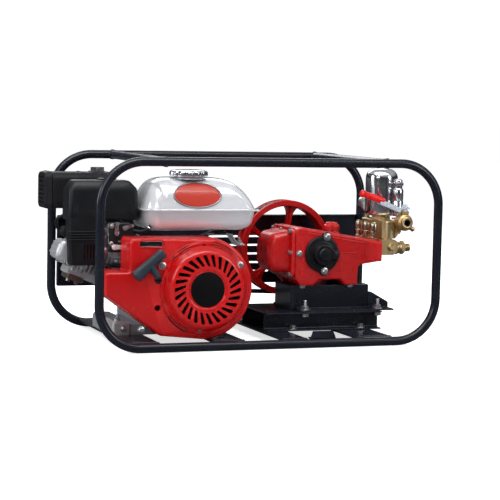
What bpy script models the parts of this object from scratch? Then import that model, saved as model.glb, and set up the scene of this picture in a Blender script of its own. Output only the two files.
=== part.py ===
"""Portable engine-driven plunger pump in a tubular carrying frame.

Every size below is in millimetres and is turned into metres when a mesh is made.
X runs along the frame with the pump head at +X, Y runs from the starter side to the
belt side, and Z is up from the ground. Places are measured from the frame's middle.
"""

import math

import bmesh
import bpy
from mathutils import Matrix, Vector

MM = 0.001
GAP = 0.3  # left between pieces that touch

# Carrying frame
LOOP_LENGTH = 741.0
LOOP_HEIGHT = 376.0
LOOP_CORNER = 88.6
TUBE = 9.5  # from the tube's middle to its flats
LOOP_Y = 206.0
LOOP_BOTTOM = TUBE
LOOP_TOP = TUBE + LOOP_HEIGHT
RAIL_TOP = 18.7
FRAME_SHIFT = 17.25  # the muffler end stands out to the left of the frame

# Engine
CRANK = (-137.0, 124.0)
CYLINDER_TILT = math.radians(22.0)
CYLINDER_Y = 42.0
PLUG_S = 5.0  # the spark plug's place across the cylinder's axis
SHROUD_BACK, SHROUD_FRONT = -95.0, -165.0
RECOIL_FRONT = -190.0
RECOIL_RADIUS = 94.0
CASE_FRONT, CASE_BACK = -92.0, 92.0
ENGINE_PULLEY = 40.0

# Belt drive and pump
PUMP_AXIS = (157.0, 180.0)
PUMP_PULLEY = 108.0
PULLEY_FRONT, PULLEY_BACK = 128.0, 168.0
PUMP_FRONT, PUMP_BACK = -66.0, 62.0
PLUNGER_PITCH = 40.0
PLUNGER_Z = 192.0
VALVE = (356.0, -66.0, 251.0)

for old in list(bpy.data.objects):
    bpy.data.objects.remove(old)

pump_middle = bpy.data.objects.new("frame_middle", None)
pump_middle.location.x = FRAME_SHIFT * MM
bpy.context.scene.collection.objects.link(pump_middle)


# Materials

def finish(name, colour, roughness, metallic=0.0):
    material = bpy.data.materials.new(name)
    material.use_nodes = True
    shader = material.node_tree.nodes["Principled BSDF"]
    shader.inputs["Base Color"].default_value = (*colour, 1.0)
    shader.inputs["Roughness"].default_value = roughness
    shader.inputs["Metallic"].default_value = metallic
    material.diffuse_color = (*colour, 1.0)
    return material


def frame_black(name):
    return finish(name, (0.007, 0.009, 0.018), 0.25)


def engine_red(name):
    return finish(name, (0.55, 0.002, 0.003), 0.22)


def black_plastic(name):
    return finish(name, (0.010, 0.011, 0.014), 0.40)


def slate_plastic(name):
    return finish(name, (0.020, 0.030, 0.042), 0.45)


def cast_aluminium(name):
    return finish(name, (0.42, 0.43, 0.46), 0.45, 1.0)


def steel(name):
    return finish(name, (0.50, 0.50, 0.52), 0.30, 1.0)


def chrome(name):
    return finish(name, (0.75, 0.76, 0.78), 0.08, 1.0)


def brass(name):
    return finish(name, (0.72, 0.47, 0.20), 0.28, 1.0)


def silver_paint(name):
    return finish(name, (0.80, 0.80, 0.82), 0.15)


def muffler_black(name):
    return finish(name, (0.012, 0.012, 0.014), 0.55)


def rubber(name):
    return finish(name, (0.012, 0.012, 0.012), 0.70)


# Shape tools. Each gives a bmesh in millimetres.

def faced(axis):
    return Vector((0, 0, 1)).rotation_difference(Vector(axis)).to_matrix().to_4x4()


def prism(outline, axis, low, high):
    """An outline pushed along an axis: (y, z) for X, (x, z) for Y and (x, y) for Z."""
    place = {
        "X": lambda a, b, h: (h, a, b),
        "Y": lambda a, b, h: (a, h, b),
        "Z": lambda a, b, h: (a, b, h),
    }[axis]
    bm = bmesh.new()
    near = [bm.verts.new(place(a, b, low)) for a, b in outline]
    far = [bm.verts.new(place(a, b, high)) for a, b in outline]
    bm.faces.new(near)
    bm.faces.new(far)
    count = len(outline)
    for i in range(count):
        j = (i + 1) % count
        bm.faces.new((near[i], near[j], far[j], far[i]))
    bmesh.ops.recalc_face_normals(bm, faces=bm.faces)
    return bm


def box(x, y, z):
    return prism([(x[0], y[0]), (x[1], y[0]), (x[1], y[1]), (x[0], y[1])], "Z", *z)


def arc(centre, radius, start, end, steps):
    """Points on an arc, in degrees."""
    angles = [math.radians(start + (end - start) * i / steps) for i in range(steps + 1)]
    return [(centre[0] + radius * math.cos(a), centre[1] + radius * math.sin(a)) for a in angles]


def rounded(corners, steps=4):
    """An outline whose corners (a, b, radius) are turned into arcs."""
    outline = []
    for i, (a, b, radius) in enumerate(corners):
        here = Vector((a, b))
        if radius == 0:
            outline.append(here)
            continue
        back = (Vector(corners[i - 1][:2]) - here).normalized()
        ahead = (Vector(corners[(i + 1) % len(corners)][:2]) - here).normalized()
        half = back.angle(ahead) / 2
        middle = here + (back + ahead).normalized() * radius / math.sin(half)
        reach = radius / math.tan(half)
        first = here + back * reach - middle
        turn = first.angle_signed(here + ahead * reach - middle)
        for k in range(steps + 1):
            swing = Matrix.Rotation(-turn * k / steps, 2)
            outline.append(middle + swing @ first)
    return [tuple(point) for point in outline]


def rectangle(a, b, radius):
    return [(a[0], b[0], radius), (a[1], b[0], radius), (a[1], b[1], radius), (a[0], b[1], radius)]


def turned(profile, centre, axis=(0, 0, 1), sides=24, ring=False):
    """A profile of (radius, height) turned about an axis through the centre."""
    bm = bmesh.new()
    rows = []
    for radius, height in profile:
        angles = [2 * math.pi * i / sides for i in range(sides)] if radius else [0.0]
        rows.append([bm.verts.new((radius * math.cos(a), radius * math.sin(a), height)) for a in angles])
    pairs = list(zip(rows, rows[1:]))
    if ring:
        pairs.append((rows[-1], rows[0]))
    for low, high in pairs:
        for i in range(sides):
            j = (i + 1) % sides
            corners = [low[i % len(low)], low[j % len(low)], high[j % len(high)], high[i % len(high)]]
            bm.faces.new(list(dict.fromkeys(corners)))
    if not ring:
        for row in (rows[0], rows[-1]):
            if len(row) > 1:
                bm.faces.new(row)
    bmesh.ops.recalc_face_normals(bm, faces=bm.faces)
    bm.transform(Matrix.Translation(centre) @ faced(axis))
    return bm


def rod(start, end, radius, sides=16):
    way = Vector(end) - Vector(start)
    return turned([(radius, 0), (radius, way.length)], start, way, sides)


def hexagon(start, end, across):
    return rod(start, end, across / 2 / math.cos(math.radians(30)), 6)


def swept(points, radius, sides, closed=False):
    """A round tube whose flats face the path's own plane."""
    bm = bmesh.new()
    path = [Vector(point) for point in points]
    corner = radius / math.cos(math.pi / sides)
    rows = []
    side = Vector((0, 1, 0))
    for i, point in enumerate(path):
        before = path[i - 1] if closed or i else point
        after = path[(i + 1) % len(path)] if closed or i < len(path) - 1 else point
        along = (after - before).normalized()
        side = (side - along * side.dot(along)).normalized()
        up = along.cross(side)
        turns = [2 * math.pi * (k + 0.5) / sides for k in range(sides)]
        rows.append([bm.verts.new(point + corner * (side * math.cos(t) + up * math.sin(t))) for t in turns])
    pairs = list(zip(rows, rows[1:]))
    if closed:
        pairs.append((rows[-1], rows[0]))
    for low, high in pairs:
        for i in range(sides):
            j = (i + 1) % sides
            bm.faces.new((low[i], low[j], high[j], high[i]))
    if not closed:
        bm.faces.new(rows[0])
        bm.faces.new(rows[-1])
    bmesh.ops.recalc_face_normals(bm, faces=bm.faces)
    return bm


def lofted(sections, steps=4, axis="Z"):
    """Rounded rectangles (height, a range, b range, corner radius) joined in order."""
    place = {"Z": lambda a, b, h: (a, b, h), "X": lambda a, b, h: (h, a, b)}[axis]
    bm = bmesh.new()
    rows = []
    for height, a, b, radius in sections:
        outline = rounded(rectangle(a, b, radius), steps)
        rows.append([bm.verts.new(place(p, q, height)) for p, q in outline])
    for low, high in zip(rows, rows[1:]):
        for i in range(len(low)):
            j = (i + 1) % len(low)
            bm.faces.new((low[i], low[j], high[j], high[i]))
    bm.faces.new(rows[0])
    bm.faces.new(rows[-1])
    bmesh.ops.recalc_face_normals(bm, faces=bm.faces)
    return bm


def smooth_route(knots, steps):
    """A Catmull-Rom curve through the knots."""
    ends = [knots[0], *knots, knots[-1]]
    route = []
    for a, b, c, d in zip(ends, ends[1:], ends[2:], ends[3:]):
        a, b, c, d = map(Vector, (a, b, c, d))
        for k in range(steps):
            t = k / steps
            bend = (3 * b - a - 3 * c + d) * t**3
            route.append(0.5 * (2 * b + (c - a) * t + (2 * a - 5 * b + 4 * c - d) * t**2 + bend))
    route.append(Vector(knots[-1]))
    return route


# Turning shapes into named pieces

def mesh_object(name, bm, origin):
    mesh = bpy.data.meshes.new(name)
    bm.transform(Matrix.Scale(MM, 4) @ Matrix.Translation(-Vector(origin)))
    bm.to_mesh(mesh)
    bm.free()
    obj = bpy.data.objects.new(name, mesh)
    obj.location = Vector(origin) * MM
    obj.parent = pump_middle
    bpy.context.scene.collection.objects.link(obj)
    return obj


def piece(name, bm, material, origin=(0, 0, 0), add=(), cut=(), last=()):
    """A named sub-part. What is added, then cut, then joined last, is put on it as Boolean modifiers."""
    obj = mesh_object(name, bm, origin)
    obj.data.materials.append(material(name))
    for operation, tools in (("UNION", add), ("DIFFERENCE", cut), ("UNION", last)):
        for tool in tools:
            helper = mesh_object(f"{name}_tool", tool, origin)
            helper.hide_render = True
            helper.display_type = "WIRE"
            change = obj.modifiers.new(operation.lower(), "BOOLEAN")
            change.operation = operation
            change.object = helper
    obj.data.shade_smooth()
    obj.data.set_sharp_from_angle(angle=math.radians(35))
    return obj


# Carrying frame: two bent tube loops, top tubes, bottom flat bars and the belt guard panel

def build_frame():
    half, corner = LOOP_LENGTH / 2, LOOP_CORNER
    outline = rounded(rectangle((-half, half), (LOOP_BOTTOM, LOOP_TOP), corner), 6)
    for name, y in (("frame_loop_front", -LOOP_Y), ("frame_loop_rear", LOOP_Y)):
        piece(name, swept([(x, y, z) for x, z in outline], TUBE, 12, closed=True), frame_black)
    reach = LOOP_Y - TUBE - GAP
    for name, x in (("top_cross_tube_left", -235.0), ("top_cross_tube_right", 250.0)):
        piece(name, rod((x, -reach, LOOP_TOP), (x, reach, LOOP_TOP), TUBE, 20), frame_black)
    rails = (
        ("engine_rail_left", -308.0, -240.0),
        ("engine_rail_right", -125.0, -57.0),
        ("pump_rail_left", 27.0, 82.0),
        ("pump_rail_right", 194.0, 274.0),
    )
    for name, left, right in rails:
        piece(name, box((left, right), (-reach, reach), (RAIL_TOP - 5, RAIL_TOP)), frame_black)


def build_guard():
    side = LOOP_LENGTH / 2 - TUBE - 0.5
    low, high, front, back, sheet = 94.0, 251.0, 190.0, 200.0, 2.0
    slots = [
        prism(rounded(rectangle((-60, 140), (z - 1.6, z + 1.6), 1.5), 2), "Y", front, back + 1)
        for z in (121, 141, 161, 181, 201)
    ]
    pan = box((-side + sheet, side - sheet), (front - 1, back - sheet), (low + sheet, high - sheet))
    piece("rear_guard", box((-side, side), (front, back), (low, high)), frame_black, cut=[pan, *slots])


# Engine

def along_cylinder(t, s, y):
    """A place at t along the cylinder's axis from the crank and s across it."""
    u = Vector((-math.cos(CYLINDER_TILT), 0, math.sin(CYLINDER_TILT)))
    v = Vector((math.sin(CYLINDER_TILT), 0, math.cos(CYLINDER_TILT)))
    return Vector((CRANK[0], 0, CRANK[1])) + u * t + v * s + Vector((0, y, 0))


def tilted_box(t, s, y, radius=4.0):
    corners = rounded(rectangle(t, s, radius), 2)
    places = [along_cylinder(a, b, 0) for a, b in corners]
    return prism([(p.x, p.z) for p in places], "Y", *y)


def build_crankcase():
    body = rounded(
        [(-248, 34, 12), (-52, 34, 12), (-40, 60, 12), (-40, 165, 20), (-78, 203, 10), (-190, 203, 10),
         (-248, 176, 12)]
    )
    hollow = rounded([(-238, 44, 8), (-58, 44, 8), (-48, 66, 8), (-48, 160, 14), (-82, 193, 8),
                      (-188, 193, 8), (-238, 170, 8)])
    feet = [box((left, left + 39), (-80, 88), (RAIL_TOP + GAP, 49)) for left in (-307.0, -112.0)]
    slab = box((-290, -80), (-76, 84), (RAIL_TOP + GAP, 40))
    neck = rod((-46, 60, 90.4), (-31, 60, 95.6), 13)
    y = CYLINDER_Y
    barrel = rod(along_cylinder(88, 0, y), along_cylinder(200, 0, y), 42, 32)
    fins = [tilted_box((t, t + 3), (-60, 56), (y - 48, y + 44), 1) for t in (128, 142, 156, 170, 184)]
    bore = rod(along_cylinder(60, 0, y), along_cylinder(201, 0, y), 34.4, 32)
    shaft = rod((CRANK[0], CASE_FRONT - 1, CRANK[1]), (CRANK[0], -60, CRANK[1]), 13)
    piece(
        "engine_crankcase",
        prism(body, "Y", CASE_FRONT, CASE_BACK),
        cast_aluminium,
        add=[*feet, slab, neck, barrel, *fins],
        cut=[prism(hollow, "Y", CASE_FRONT + 9, CASE_BACK + 1), bore, shaft],
    )
    cover = prism(body, "Y", CASE_BACK + GAP, CASE_BACK + 10)
    boss = turned([(34, 0), (30, 14)], (CRANK[0], CASE_BACK + 5, CRANK[1]), (0, 1, 0))
    through = rod((CRANK[0], CASE_BACK - 5, CRANK[1]), (CRANK[0], 130, CRANK[1]), 13)
    piece("engine_side_cover", cover, cast_aluminium, add=[boss], cut=[through])


def build_cylinder_head():
    y = CYLINDER_Y
    head_y = (y - 38, y + 38)
    fins = [tilted_box((t, t + 3), (-66, 50), (y - 42, y + 41), 1) for t in (204, 214, 224)]
    piece("cylinder_head", tilted_box((200.3, 240), (-58, 44), head_y), cast_aluminium, add=fins)
    piece("rocker_cover", tilted_box((240.3, 274), (-57, -11), (y - 36, y + 34), 9), cast_aluminium,
          add=[tilted_box((240.3, 246), (-60, -8), (y - 39, y + 37), 2)])
    plug = along_cylinder(240.3, PLUG_S, y - 8)
    way = along_cylinder(1, 0, 0) - along_cylinder(0, 0, 0)
    piece("spark_plug", turned([(8, 0), (8, 8), (10.5, 9), (11, 30), (8, 38), (0, 38)], plug, way, 16),
          rubber)


def build_ht_lead():
    knots = [tuple(along_cylinder(280.2, PLUG_S, CYLINDER_Y - 8)), (-399, 33, 236), (-404, 27, 248),
             (-400, 20, 258), (-384, 16, 264), (-350, 13, 267), (-310, 11, 265), (-277, 9, 253),
             (-257, -10, 240),
             (-252, -42, 226),
             (-256, -75, 214), (-262, -100, 205), (-264, -118, 203)]
    lead = bpy.data.curves.new("ht_lead", "CURVE")
    lead.dimensions = "3D"
    lead.bevel_depth = 3.5 * MM
    lead.bevel_resolution = 2
    lead.use_fill_caps = True
    route = smooth_route(knots, 4)
    line = lead.splines.new("POLY")
    line.points.add(len(route) - 1)
    for point, place in zip(line.points, route):
        point.co = (*(place * MM), 1.0)
    obj = bpy.data.objects.new("ht_lead", lead)
    obj.parent = pump_middle
    lead.materials.append(rubber("ht_lead"))
    bpy.context.scene.collection.objects.link(obj)


def shroud_outline(inset):
    """The blower housing's outline, drawn in by its wall."""
    x, z = CRANK
    i = inset
    arch = arc((x, z), 104.0 - i, 78, -90, 14)
    left = rounded(
        [(x, 20 + i, 0), (-228, 27 + i, 8), (-346 + i, 113 + i * 0.6, 10), (-346 + i, 160 - i, 4),
         (-296 + i, 160 - i, 4), (-296 + i, 228 - i, 6), (-116, 228 - i, 0)], 3)
    return arch + left[1:]


def build_shroud():
    back, front, wall = SHROUD_BACK, SHROUD_FRONT, 3.0
    x, z = CRANK
    port = rod((x, front - 1, z), (x, front + 10, z), 78, 40)
    slot = prism(rounded(rectangle((-276, -227), (212.5, 221.5), 4), 2), "Y", front - 1, front + 10)
    piece(
        "fan_cover",
        prism(shroud_outline(0.0), "Y", front, back),
        engine_red,
        cut=[prism(shroud_outline(wall), "Y", front + wall, back + 1), port, slot],
    )
    piece("engine_switch", box((-273, -259), (front - 5, front + 1), (213.5, 220.5)), black_plastic,
          origin=(-266, front, 217))


def build_recoil():
    x, z = CRANK
    centre = (x, SHROUD_FRONT - GAP, z)
    depth = SHROUD_FRONT - GAP - RECOIL_FRONT
    wall = 2.5
    outer = [(RECOIL_RADIUS, 0), (RECOIL_RADIUS, 4), (86, 6), (82, depth - 6), (76, depth), (7, depth)]
    inner = [(7, 6), (7.3, 6), (7.3, depth - wall), (74, depth - wall), (79, depth - 8), (83, 0)]
    slots = []
    count = 24
    for k in range(count):
        a = 360 * k / count
        lean = 9
        outline = [*arc((x, z), 71, a - 3.6 + lean, a + 3.6 + lean, 1),
                   *arc((x, z), 49, a + 3.6, a - 3.6, 1)]
        slots.append(prism(outline, "Y", RECOIL_FRONT - 1, RECOIL_FRONT + wall + 1.5))
    cutter = slots[0]
    for slot in slots[1:]:
        mesh = bpy.data.meshes.new("slot")
        slot.to_mesh(mesh)
        slot.free()
        cutter.from_mesh(mesh)
        bpy.data.meshes.remove(mesh)
    shell = turned(outer + inner, centre, (0, -1, 0), 36, ring=True)
    post = rod((x, RECOIL_FRONT + 0.5, z), (x, RECOIL_FRONT + 18, z), 7.2)
    piece("recoil_cover", shell, engine_red, add=[post], cut=[cutter])
    spool = [(8, 0), (46, 0), (46, 3), (38, 4), (38, 9), (46, 10), (46, 13), (8, 13)]
    piece("recoil_reel", turned(spool, (x, RECOIL_FRONT + 4.5, z), (0, 1, 0), 24, ring=True), black_plastic,
          origin=(x, RECOIL_FRONT, z))
    y = -179.5
    bar = turned([(5, 0), (9, 4), (8.4, 38), (9, 72), (5, 76)], (-288.5, y, 151), (57, 0, 49), 16)
    stem = rod((-259.5, y, 175.5), (-240, y, 148), 5.6, 16)
    piece("recoil_grip", bar, slate_plastic, origin=(-259.5, y, 175.5), add=[stem])


def build_rotating_engine():
    x, z = CRANK
    shaft = [(8, -156), (10, -152), (10, -105), (12.5, -104), (12.5, CASE_FRONT + 12),
             (38, CASE_FRONT + 12.01),
             (38, CASE_FRONT + 110), (12.5, CASE_FRONT + 110.01), (12.5, 172)]
    web_gap = turned([(14, 0), (40, 0), (40, 30), (14, 30)], (x, CYLINDER_Y - 15, z), (0, 1, 0), 20,
                     ring=True)
    throw = rod((x + 23, CYLINDER_Y - 20, z), (x + 23, CYLINDER_Y + 15.5, z), 14)
    slim = turned([(14, 0), (40, 0), (40, 60), (14, 60)], (x, -70, z), (0, 1, 0), 20, ring=True)
    piece("engine_crankshaft", turned(shaft, (x, 0, z), (0, 1, 0), 20), steel, origin=(x, 0, z),
          cut=[web_gap, slim], last=[throw])
    disc = [(10.3, 0), (10.3, 30), (20, 30), (20, 18), (72, 18), (84, 24), (84, 0)]
    blades = [
        prism([(x + 40, z - 1.5), (x + 80, z - 1.5), (x + 80, z + 1.5), (x + 40, z + 1.5)], "Y", -136, -120)
        for _ in range(10)
    ]
    for k, blade in enumerate(blades):
        turn = Matrix.Rotation(2 * math.pi * k / 10, 4, "Y")
        middle = Matrix.Translation((x, 0, z))
        blade.transform(middle @ turn @ middle.inverted())
    piece("flywheel", turned(disc, (x, -106, z), (0, -1, 0), 28, ring=True), cast_aluminium,
          origin=(x, 0, z), add=blades)
    rim = pulley_profile(ENGINE_PULLEY, 12.8)
    piece("engine_pulley", turned(rim, (x, PULLEY_FRONT, z), (0, 1, 0), 24, ring=True), steel,
          origin=(x, 0, z))
    start, end = along_cylinder(150, 0, CYLINDER_Y), along_cylinder(196, 0, CYLINDER_Y)
    piece("piston", rod(start, end, 33.9, 32), cast_aluminium, origin=start,
          cut=[rod(along_cylinder(148, 0, CYLINDER_Y), along_cylinder(186, 0, CYLINDER_Y), 28, 24)])


def pulley_profile(radius, bore):
    """Half section of a grooved rim, as (radius, height) from front to back."""
    width = PULLEY_BACK - PULLEY_FRONT
    groove = 10.0
    return [(bore, 0), (radius, 0), (radius, 7), (radius - groove, 10.5), (radius - groove, width - 10.5),
            (radius, width - 7), (radius, width), (bore, width)]


def build_tank():
    x, y = (-246.0, -6.0), (-110.0, 60.0)

    def inset(height, d, radius):
        return height, (x[0] + d, x[1] - d), (y[0] + d, y[1] - d), radius

    sections = [inset(238, 22, 26), inset(243, 12, 34), inset(252, 7, 36), inset(278, 4, 38),
                (279, (x[0] - 2, x[1] + 12), (y[0] - 3, y[1] + 3), 36),
                (283, (x[0] - 2, x[1] + 12), (y[0] - 3, y[1] + 3), 36),
                inset(284, 4, 38), inset(300, 6, 38), inset(318, 11, 38), inset(333, 20, 36),
                inset(342, 32, 32),
                inset(347, 50, 24)]
    neck = rod((-138, -50, 340), (-138, -50, 349.2), 29, 24)
    throat = rod((-138, -50, 325), (-138, -50, 352), 25, 24)
    piece("fuel_tank", lofted(sections), silver_paint, add=[neck], cut=[throat])
    cap = [(0, 14.5), (30, 14.5), (38, 13), (41, 9), (41, 3), (38, 0), (34, 0), (34, 6), (0, 6)]
    piece("fuel_cap", turned(cap[::-1], (-138, -50, 349.5), sides=28), chrome, origin=(-138, -50, 349.5))
    stay = prism([(-96, 229), (-50, 229), (-36, 207), (-22, 207), (-22, 204.5), (-38, 204.5), (-52, 226),
                  (-96, 226)],
                 "Y", -84, -52)
    pad = box((-90, -60), (-80, -56), (228, 237.5))
    piece("tank_bracket", stay, steel, add=[pad])


def build_air_side():
    y = (-64.0, 0.0)
    box_sections = [
        (164.0, (-394, -328), (y[0] + 3, y[1] - 30), 6), (232.0, (-397, -324), (y[0] + 2, y[1] - 30), 6),
        (236.0, (-398, -322), (y[0], y[1] - 30), 6), (262.0, (-398, -322), (y[0], y[1] - 30), 6),
    ]
    shelf = lofted([(258.0, (-399, -252), y, 8), (280.7, (-399, -249), y, 10)])
    piece("air_cleaner_housing", lofted(box_sections), black_plastic, add=[shelf])
    lid = [(281.0, (-399, -249), y, 10), (322.0, (-398, -250), y, 12),
           (333.0, (-396, -254), (y[0] + 3, y[1] - 3), 12),
           (340.0, (-388, -260), (y[0] + 10, y[1] - 10), 10)]
    piece("air_cleaner_cover", lofted(lid), black_plastic)
    body = box((-316, -262), (-58, -20), (206, 252))
    bowl = turned([(12, 0), (17, 4), (17, 30), (12, 34)], (-289, -40, 176))
    throat = rod((-289, -21, 232), (-289, -9, 232), 15)
    plate = box((-318, -263), (-84, -81), (196, 252))
    arm = box((-300, -280), (-82, -57), (240, 246))
    piece("carburettor", body, cast_aluminium, add=[bowl, throat, plate, arm])


def lever(name, pivot, tip, material, thickness=3.0, y=0.0, width=8.0):
    """A flat lever in the XZ plane, round at both ends."""
    (px, pz), (tx, tz) = pivot, tip
    lean = math.degrees(math.atan2(tz - pz, tx - px))
    outline = [*arc(pivot, width / 2 + 2, lean + 90, lean + 270, 6),
               *arc(tip, width / 2, lean - 90, lean + 90, 6)]
    return piece(name, prism(outline, "Y", y, y + thickness), material, origin=(px, y, pz))


def build_controls():
    lever("throttle_lever", (-308, 204), (-277, 204), silver_paint, y=-87.3, width=7)
    lever("choke_lever", (-286, 243), (-262, 252), steel, y=-87.3, width=6)
    lever("fuel_cock_lever", (-303, 232), (-303, 252), steel, y=-87.3, width=6)
    dip = turned([(3, 0), (3, 34), (13, 34.01), (14, 38), (14, 48), (10, 51)], (-30, 60, 96),
                 (1, 0, 0.35), 20)
    piece("oil_dipstick", dip, black_plastic, origin=(-30, 60, 96))


def build_muffler():
    shell = [(-399.5, (86, 156), (276, 346), 12), (-396, (84, 158), (272, 350), 16),
             (-262, (84, 158), (272, 350), 16),
             (-256, (90, 152), (278, 344), 12)]
    tab = box((-307, -279), (112, 115), (346, 361))
    pipe = rod((-325, 104, 276), (-325, 104, 236), 12)
    flange = box((-338, -312), (83.5, 105), (226, 250))
    piece("muffler", lofted(shell, axis="X"), muffler_black, add=[tab, pipe, flange])
    guard = lofted([(-414.5, (88, 154), (274, 348), 10), (-400, (84, 158), (270, 352), 14)], axis="X")
    inner = lofted([(-411.5, (91, 151), (277, 345), 8), (-399, (87, 155), (273, 349), 11)], axis="X")
    slots = [box((-416, -408), (104, 138), (z - 3, z + 3)) for z in (290, 304, 318, 332)]
    piece("muffler_guard", guard, muffler_black, cut=[inner, *slots])


# Belt drive

def belt_outline(extra):
    """The outline of a belt lying over both pulleys, extra beyond the groove floors."""
    (x1, z1), (x2, z2) = CRANK, PUMP_AXIS
    r1, r2 = ENGINE_PULLEY - 10 + extra, PUMP_PULLEY - 10 + extra
    slope = math.degrees(math.atan2(z2 - z1, x2 - x1))
    spread = math.degrees(math.asin((r2 - r1) / math.hypot(x2 - x1, z2 - z1)))
    small = arc((x1, z1), r1, slope + 90 + spread, slope + 270 - spread, 10)
    large = arc((x2, z2), r2, slope - 90 - spread, slope + 90 + spread, 24)
    return small + large


def build_belt():
    low, high = PULLEY_FRONT + 11.5, PULLEY_BACK - 11.5
    piece("drive_belt", prism(belt_outline(9.0), "Y", low, high), rubber,
          cut=[prism(belt_outline(0.6), "Y", low - 1, high + 1)])


# Pump

def build_pump_base():
    x = (32.0, 298.0)
    low = RAIL_TOP + GAP
    section = [(-88, low), (-66, low), (-66, 56), (66, 56), (66, low), (88, low), (88, low + 3),
               (69, low + 3),
               (69, 56), (88, 56), (88, 59), (-88, 59), (-88, 56), (-69, 56), (-69, low + 3), (-88, low + 3)]
    piece("pump_base_channel", prism(section, "X", *x), frame_black)
    left, right, foot = 100.0, 284.0, 331.0
    high, low, sheet = 114.0, 59 + GAP, 3.0
    shell = box((left, right), (-50, 50), (low, high))
    hollow = box((left + sheet, right - sheet), (-50 + sheet, 50 - sheet), (low - 1, high - sheet))
    flanges = [box((left + 10, foot), (a, b), (low, low + sheet)) for a, b in ((-85, -49), (49, 85))]
    side = [(right - 1, low), (foot, low), (foot, 74), (right - 1, 98)]
    gussets = [prism(side, "Y", a, a + sheet) for a in (-50.0, 47.0)]
    piece("pump_bracket", shell, frame_black, add=[*flanges, *gussets], cut=[hollow])


def pump_outline(inset):
    i = inset
    return rounded([(103, 128, 12), (117, 114.4, 3), (146, 114.4, 4), (158, 127, 6), (210, 127, 6),
                    (222, 114.4, 4),
                    (250, 114.4, 3), (251, 159, 3), (306 - i, 166, 3), (306 - i, 209, 3), (103, 243, 10)], 3)


def build_pump_case():
    hollow = rounded([(90, 138, 0), (238, 138, 6), (238, 210, 6), (90, 232, 0)], 3)
    x, z = PUMP_AXIS
    bores = [rod((230, y, PLUNGER_Z), (310, y, PLUNGER_Z), 10.9) for y in (-PLUNGER_PITCH, 0, PLUNGER_PITCH)]
    shaft = rod((x, PUMP_BACK - 20, z), (x, PUMP_BACK + 1, z), 13)
    nose = rod((x, PUMP_FRONT - 1, z), (x, PUMP_FRONT + 20, z), 20)
    cups = [rod((296, y, 205), (296, y, 213), 8) for y in (-PLUNGER_PITCH, 0, PLUNGER_PITCH)]
    filler = rod((212, 0, 218), (212, 0, 231), 15, 24)
    rear_boss = turned([(30, 0), (26, 12)], (x, PUMP_BACK - 1, z), (0, 1, 0))
    drill = rod((x, PUMP_BACK - 5, z), (x, PUMP_BACK + 20, z), 13)
    piece(
        "pump_crankcase",
        prism(pump_outline(0), "Y", PUMP_FRONT, PUMP_BACK),
        engine_red,
        add=[*cups, filler, rear_boss],
        cut=[prism(hollow, "Y", PUMP_FRONT + 9, PUMP_BACK - 9), *bores, shaft, drill, nose],
    )
    flange = (102.7, (PUMP_FRONT + 5, PUMP_BACK - 5), (134, 239), 12)
    cover = [flange, (95, *flange[1:]), (94.5, (-53, 49), (140, 234), 14), (62, (-50, 46), (143, 226), 18),
             (52, (-44, 40), (149, 216), 18), (48, (-36, 32), (157, 206), 14)]
    piece("crankcase_cover", lofted(cover[::-1], axis="X"), engine_red)
    y = PUMP_FRONT - GAP
    cap = turned([(39, 0), (39, 5), (36, 8), (24, 9), (22, 20), (17, 24), (0, 25)], (x + 6, y, z + 3),
                 (0, -1, 0), 28)
    lobe = rod((x + 30, y - 4, z + 2), (x + 30, y - 17, z + 2), 10)
    piece("bearing_cap", cap, black_plastic, add=[lobe])
    piece("pump_oil_cap", turned([(17.5, 0), (17.5, 10), (14, 15), (6, 17), (0, 17)],
                                 (212, 0, 231 + GAP), sides=24),
          engine_red, origin=(212, 0, 231))


def build_pump_rotor():
    x, z = PUMP_AXIS
    shaft = turned([(12.5, PUMP_FRONT + 4), (12.5, 172)], (x, 0, z), (0, 1, 0), 24)
    throws = []
    for k, y in enumerate((-PLUNGER_PITCH, 0, PLUNGER_PITCH)):
        a = 2 * math.pi * k / 3
        cx, cz = x + 9 * math.cos(a), z + 9 * math.sin(a)
        throws.append(rod((cx, y - 8, cz), (cx, y + 8, cz), 24, 20))
    piece("pump_crankshaft", shaft, steel, origin=(x, 0, z), add=throws)
    rim = pulley_profile(PUMP_PULLEY, 92)
    hub = turned([(12.8, 3), (26, 3), (26, 37), (12.8, 37)], (x, PULLEY_FRONT, z), (0, 1, 0), 20, ring=True)
    spokes = []
    for k in range(5):
        lean = Matrix.Rotation(math.radians(72 * k - 90), 4, "Y")
        outline = [(20, -17), (95, -10), (95, 10), (20, 17)]
        spoke = prism(outline, "Y", PULLEY_FRONT + 13, PULLEY_FRONT + 27)
        spoke.transform(Matrix.Translation((x, 0, z)) @ lean)
        spokes.append(spoke)
    bore = rod((x, PULLEY_FRONT - 5, z), (x, PULLEY_BACK + 5, z), 12.8, 20)
    piece("pump_pulley", turned(rim, (x, PULLEY_FRONT, z), (0, 1, 0), 40, ring=True), engine_red,
          origin=(x, 0, z), add=[*spokes, hub], cut=[bore])
    for name, y in (("plunger_front", -PLUNGER_PITCH), ("plunger_middle", 0),
                    ("plunger_rear", PLUNGER_PITCH)):
        piece(name, rod((222, y, PLUNGER_Z), (302, y, PLUNGER_Z), 10.6), steel, origin=(222, y, PLUNGER_Z))


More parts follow.
